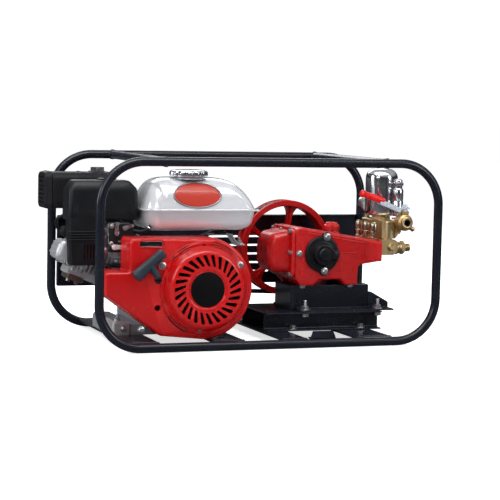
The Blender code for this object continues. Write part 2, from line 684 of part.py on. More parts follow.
def build_pump_head():
    case_end = 306.0
    z = PLUNGER_Z
    chambers = [rod((300, y, z), (330, y, z), 11.2) for y in (-PLUNGER_PITCH, 0, PLUNGER_PITCH)]
    inlet = rod((340, -48, 194), (357, -48, 194), 13)
    main = prism(rounded(rectangle((case_end + GAP + 0.1, 345), (178, 213), 6), 3), "Y", -64, 60)
    piece("suction_manifold", main, brass, add=[inlet], cut=chambers)
    fitting = hexagon((357.3, -48, 194), (366, -48, 194), 26)
    tail = turned([(9, 0), (9, 3), (8, 4), (9, 8), (8, 9), (8.5, 13.5)], (365.5, -48, 194), (1, 0, 0), 20)
    way = rod((350, -48, 194), (385, -48, 194), 5.6, 16)
    piece("suction_fitting", fitting, brass, add=[tail], cut=[way])
    block = prism(rounded(rectangle((312, 352), (213.4, 254.6), 7), 3), "Y", -50, 62)
    caps = [hexagon((351, y, 234), (361, y, 234), 22) for y in (0.0, PLUNGER_PITCH)]
    piece("discharge_manifold", block, brass, add=caps)
    dome = [(20, 0), (22, 4), (34, 10), (36, 16), (36, 92), (33.5, 101), (28, 107), (18, 111), (0, 113)]
    piece("air_chamber", turned(dome, (338, 16, 255), sides=28), chrome)
    x, y = 356.0, -34.0
    piece("regulator_body", turned([(9, 0), (11.7, 3), (11.7, 66), (9, 70), (9, 74.5)], (x, y, 255),
                                   sides=24), chrome)
    piece("regulator_knob", turned([(11, 0), (11, 7), (9, 9), (9, 13), (6, 15), (0, 15)], (x, y, 330),
                                   sides=20),
          chrome, origin=(x, y, 330))
    gauge = turned([(0, 0), (20, 0), (20, 20), (17, 22), (0, 22)], (330, 86, 283), (0, -1, 0), 24)
    stalk = hexagon((330, 76, 266), (330, 76, 240), 12)
    arm = rod((330, 76, 244), (330, 62.4, 244), 6)
    piece("pressure_gauge", gauge, steel, add=[stalk, arm])
    for name, y in (("grease_cup_front", -PLUNGER_PITCH), ("grease_cup_middle", 0),
                    ("grease_cup_rear", PLUNGER_PITCH)):
        cup = turned([(5, 0), (5, 8), (8.5, 9), (8.5, 32), (6, 36), (0, 36.5)], (296, y, 213.4), sides=20)
        piece(name, cup, brass, origin=(296, y, 213.4))


def build_outlet():
    x, y, z = VALVE
    front = y - 20
    body = turned([(15, 0), (17, 4), (17, 26), (14, 30), (14, 35.6)], (x, front, z), (0, 1, 0), 24)
    boss = rod((x + 2, y, z), (x + 2, y, z + 25), 8)
    spigot = turned([(6, 0), (6, 5), (4, 7), (4, 13)], (x + 10, y, z - 9), (0.9, 0, -0.42), 12)
    mouth = rod((x, front - 1, z), (x, front + 17, z), 7.6)
    piece("outlet_valve_body", body, brass, add=[boss, spigot], cut=[mouth])
    px, top = x + 2, z + 25 + GAP
    stem = hexagon((px, y, top), (px, y, top + 11), 13)
    plate = prism([(px + 9, top + 4), (px + 9, top + 7), (px - 10, top + 7), (px - 44, top + 20),
                   (px - 62, top + 26),
                   (px - 62, top + 23), (px - 44, top + 17), (px - 10, top + 4)], "Y", y - 8, y + 8)
    grip = turned([(6, 0), (8.5, 3), (8.5, 8), (7.2, 14), (7.2, 56), (5.5, 60)], (px - 107, y, top + 40),
                  (58, 0, -19), 16)
    piece("outlet_lever", plate, engine_red, origin=(px, y, top), add=[stem, grip])


build_frame()
build_guard()
build_crankcase()
build_cylinder_head()
build_ht_lead()
build_shroud()
build_recoil()
build_rotating_engine()
build_tank()
build_air_side()
build_controls()
build_muffler()
build_belt()
build_pump_base()
build_pump_case()
build_pump_rotor()
build_pump_head()
build_outlet()
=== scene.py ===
# Petrol engine and belt-driven plunger pump in a tubular carrying frame: looks.
# Shapes are drawn in millimetres from the middle of the frame, and rawObject() puts them in metres.
import math

import bmesh
import bpy
from mathutils import Matrix, Vector


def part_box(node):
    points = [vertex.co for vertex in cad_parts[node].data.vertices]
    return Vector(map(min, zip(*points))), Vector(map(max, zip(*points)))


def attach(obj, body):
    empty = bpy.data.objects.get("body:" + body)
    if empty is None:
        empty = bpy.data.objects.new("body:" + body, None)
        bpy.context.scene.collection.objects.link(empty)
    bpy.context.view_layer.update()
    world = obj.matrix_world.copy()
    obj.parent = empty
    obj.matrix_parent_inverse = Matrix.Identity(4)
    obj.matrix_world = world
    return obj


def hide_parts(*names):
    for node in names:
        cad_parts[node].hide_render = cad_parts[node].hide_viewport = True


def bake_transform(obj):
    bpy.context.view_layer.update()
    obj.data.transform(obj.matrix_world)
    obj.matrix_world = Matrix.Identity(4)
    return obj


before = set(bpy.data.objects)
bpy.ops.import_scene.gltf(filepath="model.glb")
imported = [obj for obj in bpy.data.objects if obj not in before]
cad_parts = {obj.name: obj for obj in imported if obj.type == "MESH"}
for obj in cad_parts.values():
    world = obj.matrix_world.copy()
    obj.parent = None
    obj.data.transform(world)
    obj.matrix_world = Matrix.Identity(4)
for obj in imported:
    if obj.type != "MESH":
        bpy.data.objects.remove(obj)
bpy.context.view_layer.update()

root = "pump_set"
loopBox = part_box("frame_loop_front")
midX = (loopBox[0][0] + loopBox[1][0]) / 2 * 1000
sharpAngle = math.radians(38)


def span(node):
    # lowest and highest corner of a CAD node, in millimetres from the frame's middle
    low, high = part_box(node)
    shift = Vector((midX, 0, 0))
    return Vector(low) * 1000 - shift, Vector(high) * 1000 - shift


def centreOf(node):
    low, high = span(node)
    return (low + high) / 2


crank = centreOf("engine_pulley")
pumpAxis = centreOf("pump_pulley")


# ---- shape tools: each gives a bmesh in millimetres

def faced(axis):
    return Vector((0, 0, 1)).rotation_difference(Vector(axis)).to_matrix().to_4x4()


def prism(outline, axis, low, high):
    place = {
        "X": lambda a, b, h: (h, a, b),
        "Y": lambda a, b, h: (a, h, b),
        "Z": lambda a, b, h: (a, b, h),
    }[axis]
    bm = bmesh.new()
    near = [bm.verts.new(place(a, b, low)) for a, b in outline]
    far = [bm.verts.new(place(a, b, high)) for a, b in outline]
    bm.faces.new(near)
    bm.faces.new(far)
    count = len(outline)
    for i in range(count):
        j = (i + 1) % count
        bm.faces.new((near[i], near[j], far[j], far[i]))
    bmesh.ops.recalc_face_normals(bm, faces=bm.faces)
    return bm


def joined(bm, rows):
    # quads between each row of corners and the next
    for low, high in zip(rows, rows[1:]):
        for i in range(len(low)):
            j = (i + 1) % len(low)
            bm.faces.new((low[i], low[j], high[j], high[i]))


def capped(bm, rows):
    # rows of corners joined in order and closed at both ends
    joined(bm, rows)
    bm.faces.new(rows[0])
    bm.faces.new(rows[-1])
    bmesh.ops.recalc_face_normals(bm, faces=bm.faces)
    return bm


def box(x, y, z):
    return prism([(x[0], y[0]), (x[1], y[0]), (x[1], y[1]), (x[0], y[1])], "Z", *z)


def arc(centre, radius, start, end, steps):
    angles = [math.radians(start + (end - start) * i / steps) for i in range(steps + 1)]
    return [(centre[0] + radius * math.cos(a), centre[1] + radius * math.sin(a)) for a in angles]


def rounded(corners, steps=6):
    # corners are (a, b, radius)
    outline = []
    for i, (a, b, radius) in enumerate(corners):
        here = Vector((a, b))
        if radius == 0:
            outline.append(here)
            continue
        back = (Vector(corners[i - 1][:2]) - here).normalized()
        ahead = (Vector(corners[(i + 1) % len(corners)][:2]) - here).normalized()
        half = back.angle(ahead) / 2
        middle = here + (back + ahead).normalized() * radius / math.sin(half)
        reach = radius / math.tan(half)
        first = here + back * reach - middle
        turn = first.angle_signed(here + ahead * reach - middle)
        for k in range(steps + 1):
            outline.append(middle + Matrix.Rotation(-turn * k / steps, 2) @ first)
    return [tuple(point) for point in outline]


def rectangle(a, b, radius):
    return [(a[0], b[0], radius), (a[1], b[0], radius), (a[1], b[1], radius), (a[0], b[1], radius)]


def turned(profile, centre, axis=(0, 0, 1), sides=48, ring=False):
    # profile of (radius, height) turned about an axis through the centre
    bm = bmesh.new()
    rows = []
    for radius, height in profile:
        angles = [2 * math.pi * i / sides for i in range(sides)] if radius else [0.0]
        rows.append([bm.verts.new((radius * math.cos(a), radius * math.sin(a), height)) for a in angles])
    pairs = list(zip(rows, rows[1:]))
    if ring:
        pairs.append((rows[-1], rows[0]))
    for low, high in pairs:
        for i in range(sides):
            j = (i + 1) % sides
            corners = [low[i % len(low)], low[j % len(low)], high[j % len(high)], high[i % len(high)]]
            bm.faces.new(list(dict.fromkeys(corners)))
    if not ring:
        for row in (rows[0], rows[-1]):
            if len(row) > 1:
                bm.faces.new(row)
    bmesh.ops.recalc_face_normals(bm, faces=bm.faces)
    bm.transform(Matrix.Translation(centre) @ faced(axis))
    return bm


def rod(start, end, radius, sides=32):
    way = Vector(end) - Vector(start)
    return turned([(radius, 0), (radius, way.length)], start, way, sides)


def softRod(start, end, radius, ease=0.6, sides=32):
    # a rod with eased ends
    way = Vector(end) - Vector(start)
    length = way.length
    profile = [(radius - ease, 0), (radius - ease * 0.3, ease * 0.3), (radius, ease)]
    profile += [(r, length - h) for r, h in reversed(profile)]
    return turned(profile, start, way, sides)


def hexBar(start, end, across, ease=0.7):
    # a hexagon bar with chamfered corners at its far end
    way = Vector(end) - Vector(start)
    corner = across / 2 / math.cos(math.radians(30))
    profile = [(corner, 0), (corner, way.length - ease), (corner - ease * 1.3, way.length)]
    return turned(profile, start, way, 6)


def swept(points, radius, sides, closed=False, radii=None):
    bm = bmesh.new()
    path = [Vector(point) for point in points]
    rows = []
    side = Vector((0, 1, 0)) if abs((path[1] - path[0]).normalized().y) < 0.9 else Vector((1, 0, 0))
    for i, point in enumerate(path):
        before = path[i - 1] if closed or i else point
        after = path[(i + 1) % len(path)] if closed or i < len(path) - 1 else point
        along = (after - before).normalized()
        side = (side - along * side.dot(along)).normalized()
        up = along.cross(side)
        turns = [2 * math.pi * (k + 0.5) / sides for k in range(sides)]
        size = radii[i] if radii else radius
        rows.append([bm.verts.new(point + size * (side * math.cos(t) + up * math.sin(t))) for t in turns])
    if not closed:
        return capped(bm, rows)
    joined(bm, [*rows, rows[0]])
    bmesh.ops.recalc_face_normals(bm, faces=bm.faces)
    return bm


def lofted(sections, steps=6, axis="Z"):
    # rounded rectangles (height, a range, b range, corner radius) joined in order
    place = {"Z": lambda a, b, h: (a, b, h), "X": lambda a, b, h: (h, a, b), "Y": lambda a, b,
             h: (a, h, b)}[axis]
    bm = bmesh.new()
    rows = []
    for height, a, b, radius in sections:
        rows.append([bm.verts.new(place(p, q, height)) for p, q in rounded(rectangle(a, b, radius), steps)])
    return capped(bm, rows)


def smoothRoute(knots, steps):
    # a Catmull-Rom curve through the knots
    ends = [knots[0], *knots, knots[-1]]
    route = []
    for a, b, c, d in zip(ends, ends[1:], ends[2:], ends[3:]):
        a, b, c, d = map(Vector, (a, b, c, d))
        for k in range(steps):
            t = k / steps
            bend = (3 * b - a - 3 * c + d) * t**3
            route.append(0.5 * (2 * b + (c - a) * t + (2 * a - 5 * b + 4 * c - d) * t**2 + bend))
    route.append(Vector(knots[-1]))
    return route


def coil(start, end, radius, wire, turns, sides=8):
    # a coil spring between two points
    way = Vector(end) - Vector(start)
    turn = faced(way)
    steps = int(turns * 14)
    points = []
    for k in range(steps + 1):
        a = 2 * math.pi * turns * k / steps
        at = Vector((radius * math.cos(a), radius * math.sin(a), way.length * k / steps))
        points.append(Vector(start) + turn @ at)
    return swept(points, wire, sides)


def moved(bm, matrix):
    bm.transform(matrix)
    return bm


def merged(*shapes):
    # several closed shapes in one mesh, where they needn't be fused
    whole = bmesh.new()
    for shape in shapes:
        mesh = bpy.data.meshes.new("part")
        shape.to_mesh(mesh)
        shape.free()
        whole.from_mesh(mesh)
        bpy.data.meshes.remove(mesh)
    return whole


# ---- turning shapes into pieces

def rawObject(name, bm):
    mesh = bpy.data.meshes.new(name)
    bm.transform(Matrix.Translation((midX / 1000, 0, 0)) @ Matrix.Scale(0.001, 4))
    bm.to_mesh(mesh)
    bm.free()
    obj = bpy.data.objects.new(name, mesh)
    bpy.context.scene.collection.objects.link(obj)
    return obj


def bake(obj):
    # the modifiers' result becomes the object's own mesh
    graph = bpy.context.evaluated_depsgraph_get()
    made = bpy.data.meshes.new_from_object(obj.evaluated_get(graph))
    obj.modifiers.clear()
    obj.data = made
    return obj


def fused(name, bm, add=(), cut=()):
    obj = rawObject(name, bm)
    tools = []
    for operation, shapes in (("UNION", add), ("DIFFERENCE", cut)):
        for shape in shapes:
            tool = rawObject(name + "Tool", shape)
            tools.append(tool)
            change = obj.modifiers.new(operation, "BOOLEAN")
            change.operation = operation
            change.object = tool
    if tools:
        bake(obj)
        for tool in tools:
            bpy.data.objects.remove(tool)
    return obj


def piece(name, bm, material, body=root, node=None, add=(), cut=(), bevel=0.0, segments=2,
          extra=()):
    obj = fused(name, bm, add, cut)
    if bevel:
        edge = obj.modifiers.new("edge", "BEVEL")
        edge.width = bevel / 1000
        edge.segments = segments
        edge.limit_method = "ANGLE"
        edge.angle_limit = math.radians(30)
        edge.miter_outer = "MITER_ARC"
        bake(obj)
    if extra:
        whole = bmesh.new()
        whole.from_mesh(obj.data)
        for shape in extra:
            part = rawObject("part", shape)
            whole.from_mesh(part.data)
            bpy.data.objects.remove(part)
        whole.to_mesh(obj.data)
        whole.free()
    obj.data.materials.clear()
    obj.data.materials.append(material)
    obj.data.shade_smooth()
    obj.data.set_sharp_from_angle(angle=sharpAngle)
    if bevel:
        even = obj.modifiers.new("even", "WEIGHTED_NORMAL")
        even.mode = "FACE_AREA"
        even.keep_sharp = True
        bake(obj)
    if body:
        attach(obj, body)
    if node:
        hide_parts(*([node] if isinstance(node, str) else node))
    return obj


# ---- fasteners

def boltShapes(at, axis, across, tall=None, washer=True, stud=0.0):
    # a flanged hexagon head or nut, its washer and any thread that shows
    at, axis = Vector(at), Vector(axis).normalized()
    tall = tall or across * 0.5
    shapes = []
    lift = 0.0
    if washer:
        lift = across * 0.14
        ring = [(across * 0.82, 0), (across * 0.82, lift * 0.8), (across * 0.78, lift), (0, lift)]
        shapes.append(turned(ring, at, axis, 28))
    shapes.append(hexBar(at + axis * lift * 0.9, at + axis * (lift + tall), across, across * 0.06))
    if stud:
        radius = across * 0.29
        profile = [(radius, 0)]
        pitch = across * 0.09
        turns = int(stud / pitch)
        for k in range(turns):
            profile += [(radius, k * pitch + 0.1), (radius * 0.86, (k + 0.5) * pitch)]
        profile += [(radius * 0.8, stud), (0, stud)]
        shapes.append(turned(profile, at + axis * (lift + tall - 0.5), axis, 20))
    return shapes


def boltSet(name, bolts, material, body=root):
    shapes = []
    for bolt in bolts:
        shapes += boltShapes(**bolt)
    return piece(name, merged(*shapes), material, body)


# ---- shared shader effects

def newGroup(name, inputs, outputs):
    group = bpy.data.node_groups.new(name, "ShaderNodeTree")
    for label, kind, value in inputs:
        socket = group.interface.new_socket(label, in_out="INPUT", socket_type=kind)
        socket.default_value = value
    for label, kind in outputs:
        group.interface.new_socket(label, in_out="OUTPUT", socket_type=kind)
    return group, group.nodes.new("NodeGroupInput"), group.nodes.new("NodeGroupOutput")


def addNode(tree, kind, settings=None, **values):
    node = tree.nodes.new(kind)
    for key, value in (settings or {}).items():
        setattr(node, key, value)
    for key, value in values.items():
        node.inputs[key].default_value = value
    return node


def grainGroup():
    # fine surface texture: a fine noise over a broad one, for orange peel, sand casting and moulded plastic
    group, given, result = newGroup(
        "surfaceGrain",
        [("Fine scale", "NodeSocketFloat", 900.0), ("Broad scale", "NodeSocketFloat", 40.0),
         ("Broad share", "NodeSocketFloat", 0.3)],
        [("Height", "NodeSocketFloat"), ("Cloud", "NodeSocketFloat")],
    )
    link = group.links.new
    place = addNode(group, "ShaderNodeTexCoord")
    fine = addNode(group, "ShaderNodeTexNoise", Detail=3.0, Roughness=0.6)
    broad = addNode(group, "ShaderNodeTexNoise", Detail=4.0, Roughness=0.55)
    blend = addNode(group, "ShaderNodeMix", {"data_type": "FLOAT"})
    for noise, scale in ((fine, "Fine scale"), (broad, "Broad scale")):
        link(place.outputs["Object"], noise.inputs["Vector"])
        link(given.outputs[scale], noise.inputs["Scale"])
    link(given.outputs["Broad share"], blend.inputs[0])
    link(fine.outputs[0], blend.inputs[2])
    link(broad.outputs[0], blend.inputs[3])
    link(blend.outputs[0], result.inputs["Height"])
    link(broad.outputs[0], result.inputs["Cloud"])
    return group


def edgeWearAndHighlightGroup():
    # Edge: convex edges, partly edge wear and partly a painted highlight; Corner: a painted-shade mask for
    # corners that no finish uses; both broken up by noise
    group, given, result = newGroup(
        "edgeWearAndHighlight",
        [("Reach", "NodeSocketFloat", 0.03), ("Breakup", "NodeSocketFloat", 220.0)],
        [("Edge", "NodeSocketFloat"), ("Corner", "NodeSocketFloat")],
    )
    link = group.links.new
    place = addNode(group, "ShaderNodeTexCoord")
    shape = addNode(group, "ShaderNodeNewGeometry")
    noise = addNode(group, "ShaderNodeTexNoise", Detail=5.0)
    centred = addNode(group, "ShaderNodeMath", {"operation": "SUBTRACT"})
    centred.inputs[1].default_value = 0.5
    edge = addNode(group, "ShaderNodeMath", {"operation": "DIVIDE", "use_clamp": True})
    spotted = addNode(group, "ShaderNodeMath", {"operation": "MULTIPLY", "use_clamp": True})
    flipped = addNode(group, "ShaderNodeMath", {"operation": "MULTIPLY"})
    flipped.inputs[1].default_value = -1.0
    corner = addNode(group, "ShaderNodeMath", {"operation": "DIVIDE", "use_clamp": True})
    link(place.outputs["Object"], noise.inputs["Vector"])
    link(given.outputs["Breakup"], noise.inputs["Scale"])
    link(shape.outputs["Pointiness"], centred.inputs[0])
    link(centred.outputs[0], edge.inputs[0])
    link(given.outputs["Reach"], edge.inputs[1])
    link(edge.outputs[0], spotted.inputs[0])
    link(noise.outputs[0], spotted.inputs[1])
    link(centred.outputs[0], flipped.inputs[0])
    link(flipped.outputs[0], corner.inputs[0])
    link(given.outputs["Reach"], corner.inputs[1])
    link(spotted.outputs[0], result.inputs["Edge"])
    link(corner.outputs[0], result.inputs["Corner"])
    return group


def dustGroup():
    # a thin film that gathers on upward faces
    group, given, result = newGroup(
        "restingDust",
        [("Amount", "NodeSocketFloat", 0.2), ("Patch scale", "NodeSocketFloat", 30.0)],
        [("Dust", "NodeSocketFloat")],
    )
    link = group.links.new
    place = addNode(group, "ShaderNodeTexCoord")
    shape = addNode(group, "ShaderNodeNewGeometry")
    split = addNode(group, "ShaderNodeSeparateXYZ")
    lift = addNode(group, "ShaderNodeMath", {"operation": "MAXIMUM"})
    lift.inputs[1].default_value = 0.0
    noise = addNode(group, "ShaderNodeTexNoise", Detail=6.0, Roughness=0.7)
    patchy = addNode(group, "ShaderNodeMath", {"operation": "MULTIPLY"})
    scaled = addNode(group, "ShaderNodeMath", {"operation": "MULTIPLY", "use_clamp": True})
    link(place.outputs["Object"], noise.inputs["Vector"])
    link(given.outputs["Patch scale"], noise.inputs["Scale"])
    link(shape.outputs["Normal"], split.inputs[0])
    link(split.outputs["Z"], lift.inputs[0])
    link(lift.outputs[0], patchy.inputs[0])
    link(noise.outputs[0], patchy.inputs[1])
    link(patchy.outputs[0], scaled.inputs[0])
    link(given.outputs["Amount"], scaled.inputs[1])
    link(scaled.outputs[0], result.inputs["Dust"])
    return group


effects = {"grain": grainGroup(), "edge": edgeWearAndHighlightGroup(), "dust": dustGroup()}


def useEffect(tree, effect, **values):
    node = tree.nodes.new("ShaderNodeGroup")
    node.node_tree = effects[effect]
    for key, value in values.items():
        node.inputs[key.replace("_", " ")].default_value = value
    return node


def mixColour(tree, factor, low, high):
    # low and high are colours or sockets
    node = addNode(tree, "ShaderNodeMix", {"data_type": "RGBA"})
    for index, value in ((0, factor), (6, low), (7, high)):
        if hasattr(value, "is_output"):
            tree.links.new(value, node.inputs[index])
        elif index == 0:
            node.inputs[index].default_value = value
        else:
            node.inputs[index].default_value = (*value, 1.0)
    return node.outputs[2]


def makeFinish(name, colour, shade, rough, metal=0.0, grain=(900.0, 40.0, 0.3), bump=0.05, depth=0.0001,
               edge=None, reach=0.05, dust=0.0, dustColour=(0.35, 0.33, 0.30), coat=0.0, coatRough=0.05,
               specular=0.5):
    # colour clouds towards shade, rough is (low, high), edge is the colour on convex edges: partly edge
    # wear, partly a painted highlight
    material = bpy.data.materials.new(name)
    material.use_nodes = True
    tree = material.node_tree
    link = tree.links.new
    shader = tree.nodes["Principled BSDF"]
    texture = useEffect(tree, "grain", Fine_scale=grain[0], Broad_scale=grain[1], Broad_share=grain[2])
    tone = mixColour(tree, texture.outputs["Cloud"], colour, shade)
    if edge:
        # convex edges take the edge colour, partly wear and partly a painted highlight
        wearAndHighlight = useEffect(tree, "edge", Reach=reach)
        tone = mixColour(tree, wearAndHighlight.outputs["Edge"], tone, edge)
    roughness = addNode(tree, "ShaderNodeMapRange")
    roughness.inputs["From Min"].default_value = 0.3
    roughness.inputs["From Max"].default_value = 0.7
    roughness.inputs["To Min"].default_value = rough[0]
    roughness.inputs["To Max"].default_value = rough[1]
    link(texture.outputs["Cloud"], roughness.inputs["Value"])
    if dust:
        film = useEffect(tree, "dust", Amount=dust)
        tone = mixColour(tree, film.outputs["Dust"], tone, dustColour)
    link(tone, shader.inputs["Base Color"])
    link(roughness.outputs[0], shader.inputs["Roughness"])
    shader.inputs["Metallic"].default_value = metal
    shader.inputs["Coat Weight"].default_value = coat
    shader.inputs["Coat Roughness"].default_value = coatRough
    shader.inputs["Specular IOR Level"].default_value = specular
    relief = addNode(tree, "ShaderNodeBump", Strength=bump, Distance=depth)
    link(texture.outputs["Height"], relief.inputs["Height"])
    link(relief.outputs[0], shader.inputs["Normal"])
    return material


# edge colours in these finishes are partly edge wear and partly a painted highlight on convex edges
finishes = {
    "frameBlack": makeFinish("frameBlack", (0.0028, 0.0034, 0.0072), (0.0045, 0.0055, 0.011), (0.18, 0.28),
                             grain=(700, 25, 0.4), bump=0.22, depth=0.00012, edge=(0.02, 0.024, 0.035),
                             coat=0.10,
                             coatRough=0.08, specular=0.32),
    "engineRed": makeFinish("engineRed", (0.43, 0.0010, 0.0018), (0.32, 0.0007, 0.0014), (0.18, 0.28),
                            grain=(600, 18, 0.4), bump=0.16, depth=0.0001, edge=(0.60, 0.02, 0.02),
                            coat=0.30, coatRough=0.05, specular=0.3),
    "castRed": makeFinish("castRed", (0.42, 0.0010, 0.0018), (0.30, 0.0007, 0.0014), (0.22, 0.36),
                          grain=(420, 60, 0.5), bump=0.5, depth=0.0003, edge=(0.58, 0.02, 0.02),
                          coat=0.28, coatRough=0.12, specular=0.3),
    "tankSilver": makeFinish("tankSilver", (0.72, 0.73, 0.76), (0.64, 0.655, 0.69), (0.12, 0.18),
                             metal=0.35,
                             grain=(500, 12, 0.5), bump=0.08, depth=0.0001, coat=0.8, coatRough=0.04),
    "plasticBlack": makeFinish("plasticBlack", (0.003, 0.0035, 0.005), (0.005, 0.006, 0.008), (0.30, 0.42),
                               grain=(1500, 30, 0.2), bump=0.45, depth=0.00012, edge=(0.014, 0.015, 0.018),
                               specular=0.22),
    "plasticSlate": makeFinish("plasticSlate", (0.011, 0.018, 0.027), (0.017, 0.026, 0.037), (0.36, 0.50),
                               grain=(1400, 40, 0.2), bump=0.45, depth=0.00012, edge=(0.04, 0.05, 0.06),
                               specular=0.3),
    "castAluminium": makeFinish("castAluminium", (0.50, 0.51, 0.54), (0.33, 0.34, 0.37), (0.36, 0.55),
                                metal=0.65,
                                grain=(500, 90, 0.45), bump=0.8, depth=0.0004, edge=(0.58, 0.58, 0.60),
                                dust=0.03),
    "zincSteel": makeFinish("zincSteel", (0.56, 0.57, 0.60), (0.42, 0.42, 0.44), (0.22, 0.36), metal=1.0,
                            grain=(900, 80, 0.3), bump=0.25, depth=0.0001, edge=(0.7, 0.7, 0.7)),
    "bluedZinc": makeFinish("bluedZinc", (0.50, 0.57, 0.66), (0.42, 0.48, 0.57), (0.25, 0.36), metal=0.35,
                            grain=(900, 60, 0.3), bump=0.2, depth=0.0001, edge=(0.72, 0.76, 0.80)),
    "machinedSteel": makeFinish("machinedSteel", (0.34, 0.34, 0.36), (0.24, 0.24, 0.26), (0.28, 0.42),
                                metal=1.0,
                                grain=(800, 70, 0.3), bump=0.3, depth=0.0001),
    "chromePlate": makeFinish("chromePlate", (0.72, 0.73, 0.76), (0.66, 0.67, 0.71), (0.09, 0.16),
                              metal=1.0,
                              grain=(300, 15, 0.6), bump=0.04, depth=0.0001),
    "castBrass": makeFinish("castBrass", (0.66, 0.46, 0.21), (0.42, 0.27, 0.11), (0.28, 0.46), metal=1.0,
                            grain=(450, 110, 0.5), bump=0.8, depth=0.0004, edge=(0.86, 0.70, 0.42)),
    "cupBrass": makeFinish("cupBrass", (0.40, 0.33, 0.24), (0.26, 0.20, 0.14), (0.12, 0.26), metal=1.0,
                           grain=(500, 90, 0.4), bump=0.15, depth=0.0001, edge=(0.72, 0.64, 0.52)),
    "mufflerBlack": makeFinish("mufflerBlack", (0.0035, 0.0038, 0.0048), (0.006, 0.0065, 0.008),
                               (0.42, 0.58),
                               grain=(700, 50, 0.4), bump=0.5, depth=0.0003, edge=(0.02, 0.02, 0.022),
                               specular=0.16),
    "rubberBlack": makeFinish("rubberBlack", (0.006, 0.006, 0.007), (0.011, 0.011, 0.012), (0.45, 0.62),
                              grain=(1200, 60, 0.3), bump=0.4, depth=0.0002, specular=0.28),
    "gripRed": makeFinish("gripRed", (0.74, 0.010, 0.010), (0.62, 0.006, 0.006), (0.24, 0.32),
                          grain=(500, 40, 0.3), bump=0.12, depth=0.0001, coat=0.25, specular=0.35),
    # dark red for the painted glint in the air cleaner slits
    "slitGlintRed": makeFinish("slitGlintRed", (0.075, 0.003, 0.003), (0.045, 0.002, 0.002), (0.6, 0.8),
                            grain=(900, 300, 0.3), bump=0.9, depth=0.0005, specular=0.2),
    "badgeOrange": makeFinish("badgeOrange", (0.42, 0.030, 0.014), (0.36, 0.024, 0.012), (0.30, 0.38),
                              grain=(900, 30, 0.2), bump=0.05, depth=0.0001, coat=0.2, specular=0.35),
    "dialWhite": makeFinish("dialWhite", (0.75, 0.76, 0.76), (0.68, 0.69, 0.70), (0.25, 0.35),
                            grain=(900, 30, 0.2), bump=0.05),
    "inkBlack": makeFinish("inkBlack", (0.003, 0.003, 0.0035), (0.005, 0.005, 0.006), (0.4, 0.5),
                           grain=(900, 30, 0.2), specular=0.06),
    "heatSteel": makeFinish("heatSteel", (0.36, 0.31, 0.27), (0.22, 0.17, 0.14), (0.32, 0.5), metal=1.0,
                            grain=(600, 60, 0.5), bump=0.6, depth=0.0003),
}
print("finishes ready")

# ---- camera, floor and light

stage = {
    "cameraPlace": (-1.24733, -3.47126, 0.50867), "target": (0.02156, 0, 0.18733),
    "roll": 1.23, "lens": 122.78, "floorReach": 40.0,
    "panels": (
        # name, place, aim, width, height, watts, colour
        ("overhead", (-0.5, -0.6, 2.4), (0, 0, 0.2), 2.6, 1.6, 36, (1.0, 0.99, 0.98)),
        ("frontLeft", (-2.4, -2.2, 1.5), (0, 0, 0.2), 1.2, 1.6, 28, (1.0, 0.98, 0.96)),
        ("frontRight", (2.2, -2.6, 1.2), (0.1, 0, 0.2), 0.9, 1.5, 24, (0.96, 0.98, 1.0)),
        ("strip", (-0.2, -1.1, 2.1), (0, 0, 0.2), 3.2, 0.22, 26, (1.0, 1.0, 1.0)),
        ("left", (-2.6, 0.2, 0.9), (-0.2, 0, 0.2), 0.9, 1.2, 20, (0.98, 0.99, 1.0)),
        ("behind", (0.6, 2.6, 1.8), (0, 0, 0.2), 2.2, 1.0, 24, (0.97, 0.98, 1.0)),
    ),
}
frameShift = Vector((midX / 1000, 0, 0))


def aimed(obj, place, target, roll=0.0):
    turn = (Vector(target) - Vector(place)).to_track_quat("-Z", "Y").to_matrix().to_4x4()
    obj.matrix_world = Matrix.Translation(Vector(place)) @ turn @ Matrix.Rotation(math.radians(roll), 4,
                                                                                  "Z")
    bpy.context.scene.collection.objects.link(obj)


cameraData = bpy.data.cameras.new("camera")
cameraData.lens = stage["lens"]
cameraData.sensor_width = 36
camera = bpy.data.objects.new("camera", cameraData)
aimed(camera, Vector(stage["cameraPlace"]) + frameShift, Vector(stage["target"]) + frameShift,
      stage["roll"])
bpy.context.scene.camera = camera

for name, place, aim, width, height, watts, colour in stage["panels"]:
    lamp = bpy.data.lights.new(name, "AREA")
    lamp.shape = "RECTANGLE"
    lamp.size, lamp.size_y = width, height
    lamp.energy = watts
    lamp.color = colour
    aimed(bpy.data.objects.new(name, lamp), place, aim)

floorMesh = bpy.data.meshes.new("floor")
reach = stage["floorReach"]
floorMesh.from_pydata([(-reach, -reach, 0), (reach, -reach, 0), (reach, reach, 0), (-reach, reach, 0)], [],
                      [(0, 1, 2, 3)])
floor = bpy.data.objects.new("floor", floorMesh)
floor.location.z = -0.0005
bpy.context.scene.collection.objects.link(floor)
floorPaint = bpy.data.materials.new("floorPaint")
floorPaint.use_nodes = True
floorShader = floorPaint.node_tree.nodes["Principled BSDF"]
floorShader.inputs["Roughness"].default_value = 0.85
floorShader.inputs["Specular IOR Level"].default_value = 0.1
# glossy pieces see a darker floor than the eye does
floorLight = addNode(floorPaint.node_tree, "ShaderNodeLightPath")
floorTone = mixColour(floorPaint.node_tree, floorLight.outputs["Is Glossy Ray"], (0.90, 0.90, 0.905),
                      (0.10, 0.10, 0.11))
floorPaint.node_tree.links.new(floorTone, floorShader.inputs["Base Color"])
floorGlow = addNode(floorPaint.node_tree, "ShaderNodeMath", {"operation": "MULTIPLY"})
floorGlow.inputs[1].default_value = 0.68
floorPaint.node_tree.links.new(floorLight.outputs["Is Camera Ray"], floorGlow.inputs[0])
floorPaint.node_tree.links.new(floorGlow.outputs[0], floorShader.inputs["Emission Strength"])
floorShader.inputs["Emission Color"].default_value = (1.0, 1.0, 1.0, 1.0)
floorMesh.materials.append(floorPaint)
bpy.context.scene.view_settings.view_transform = "Standard"
bpy.context.scene.view_settings.look = "None"


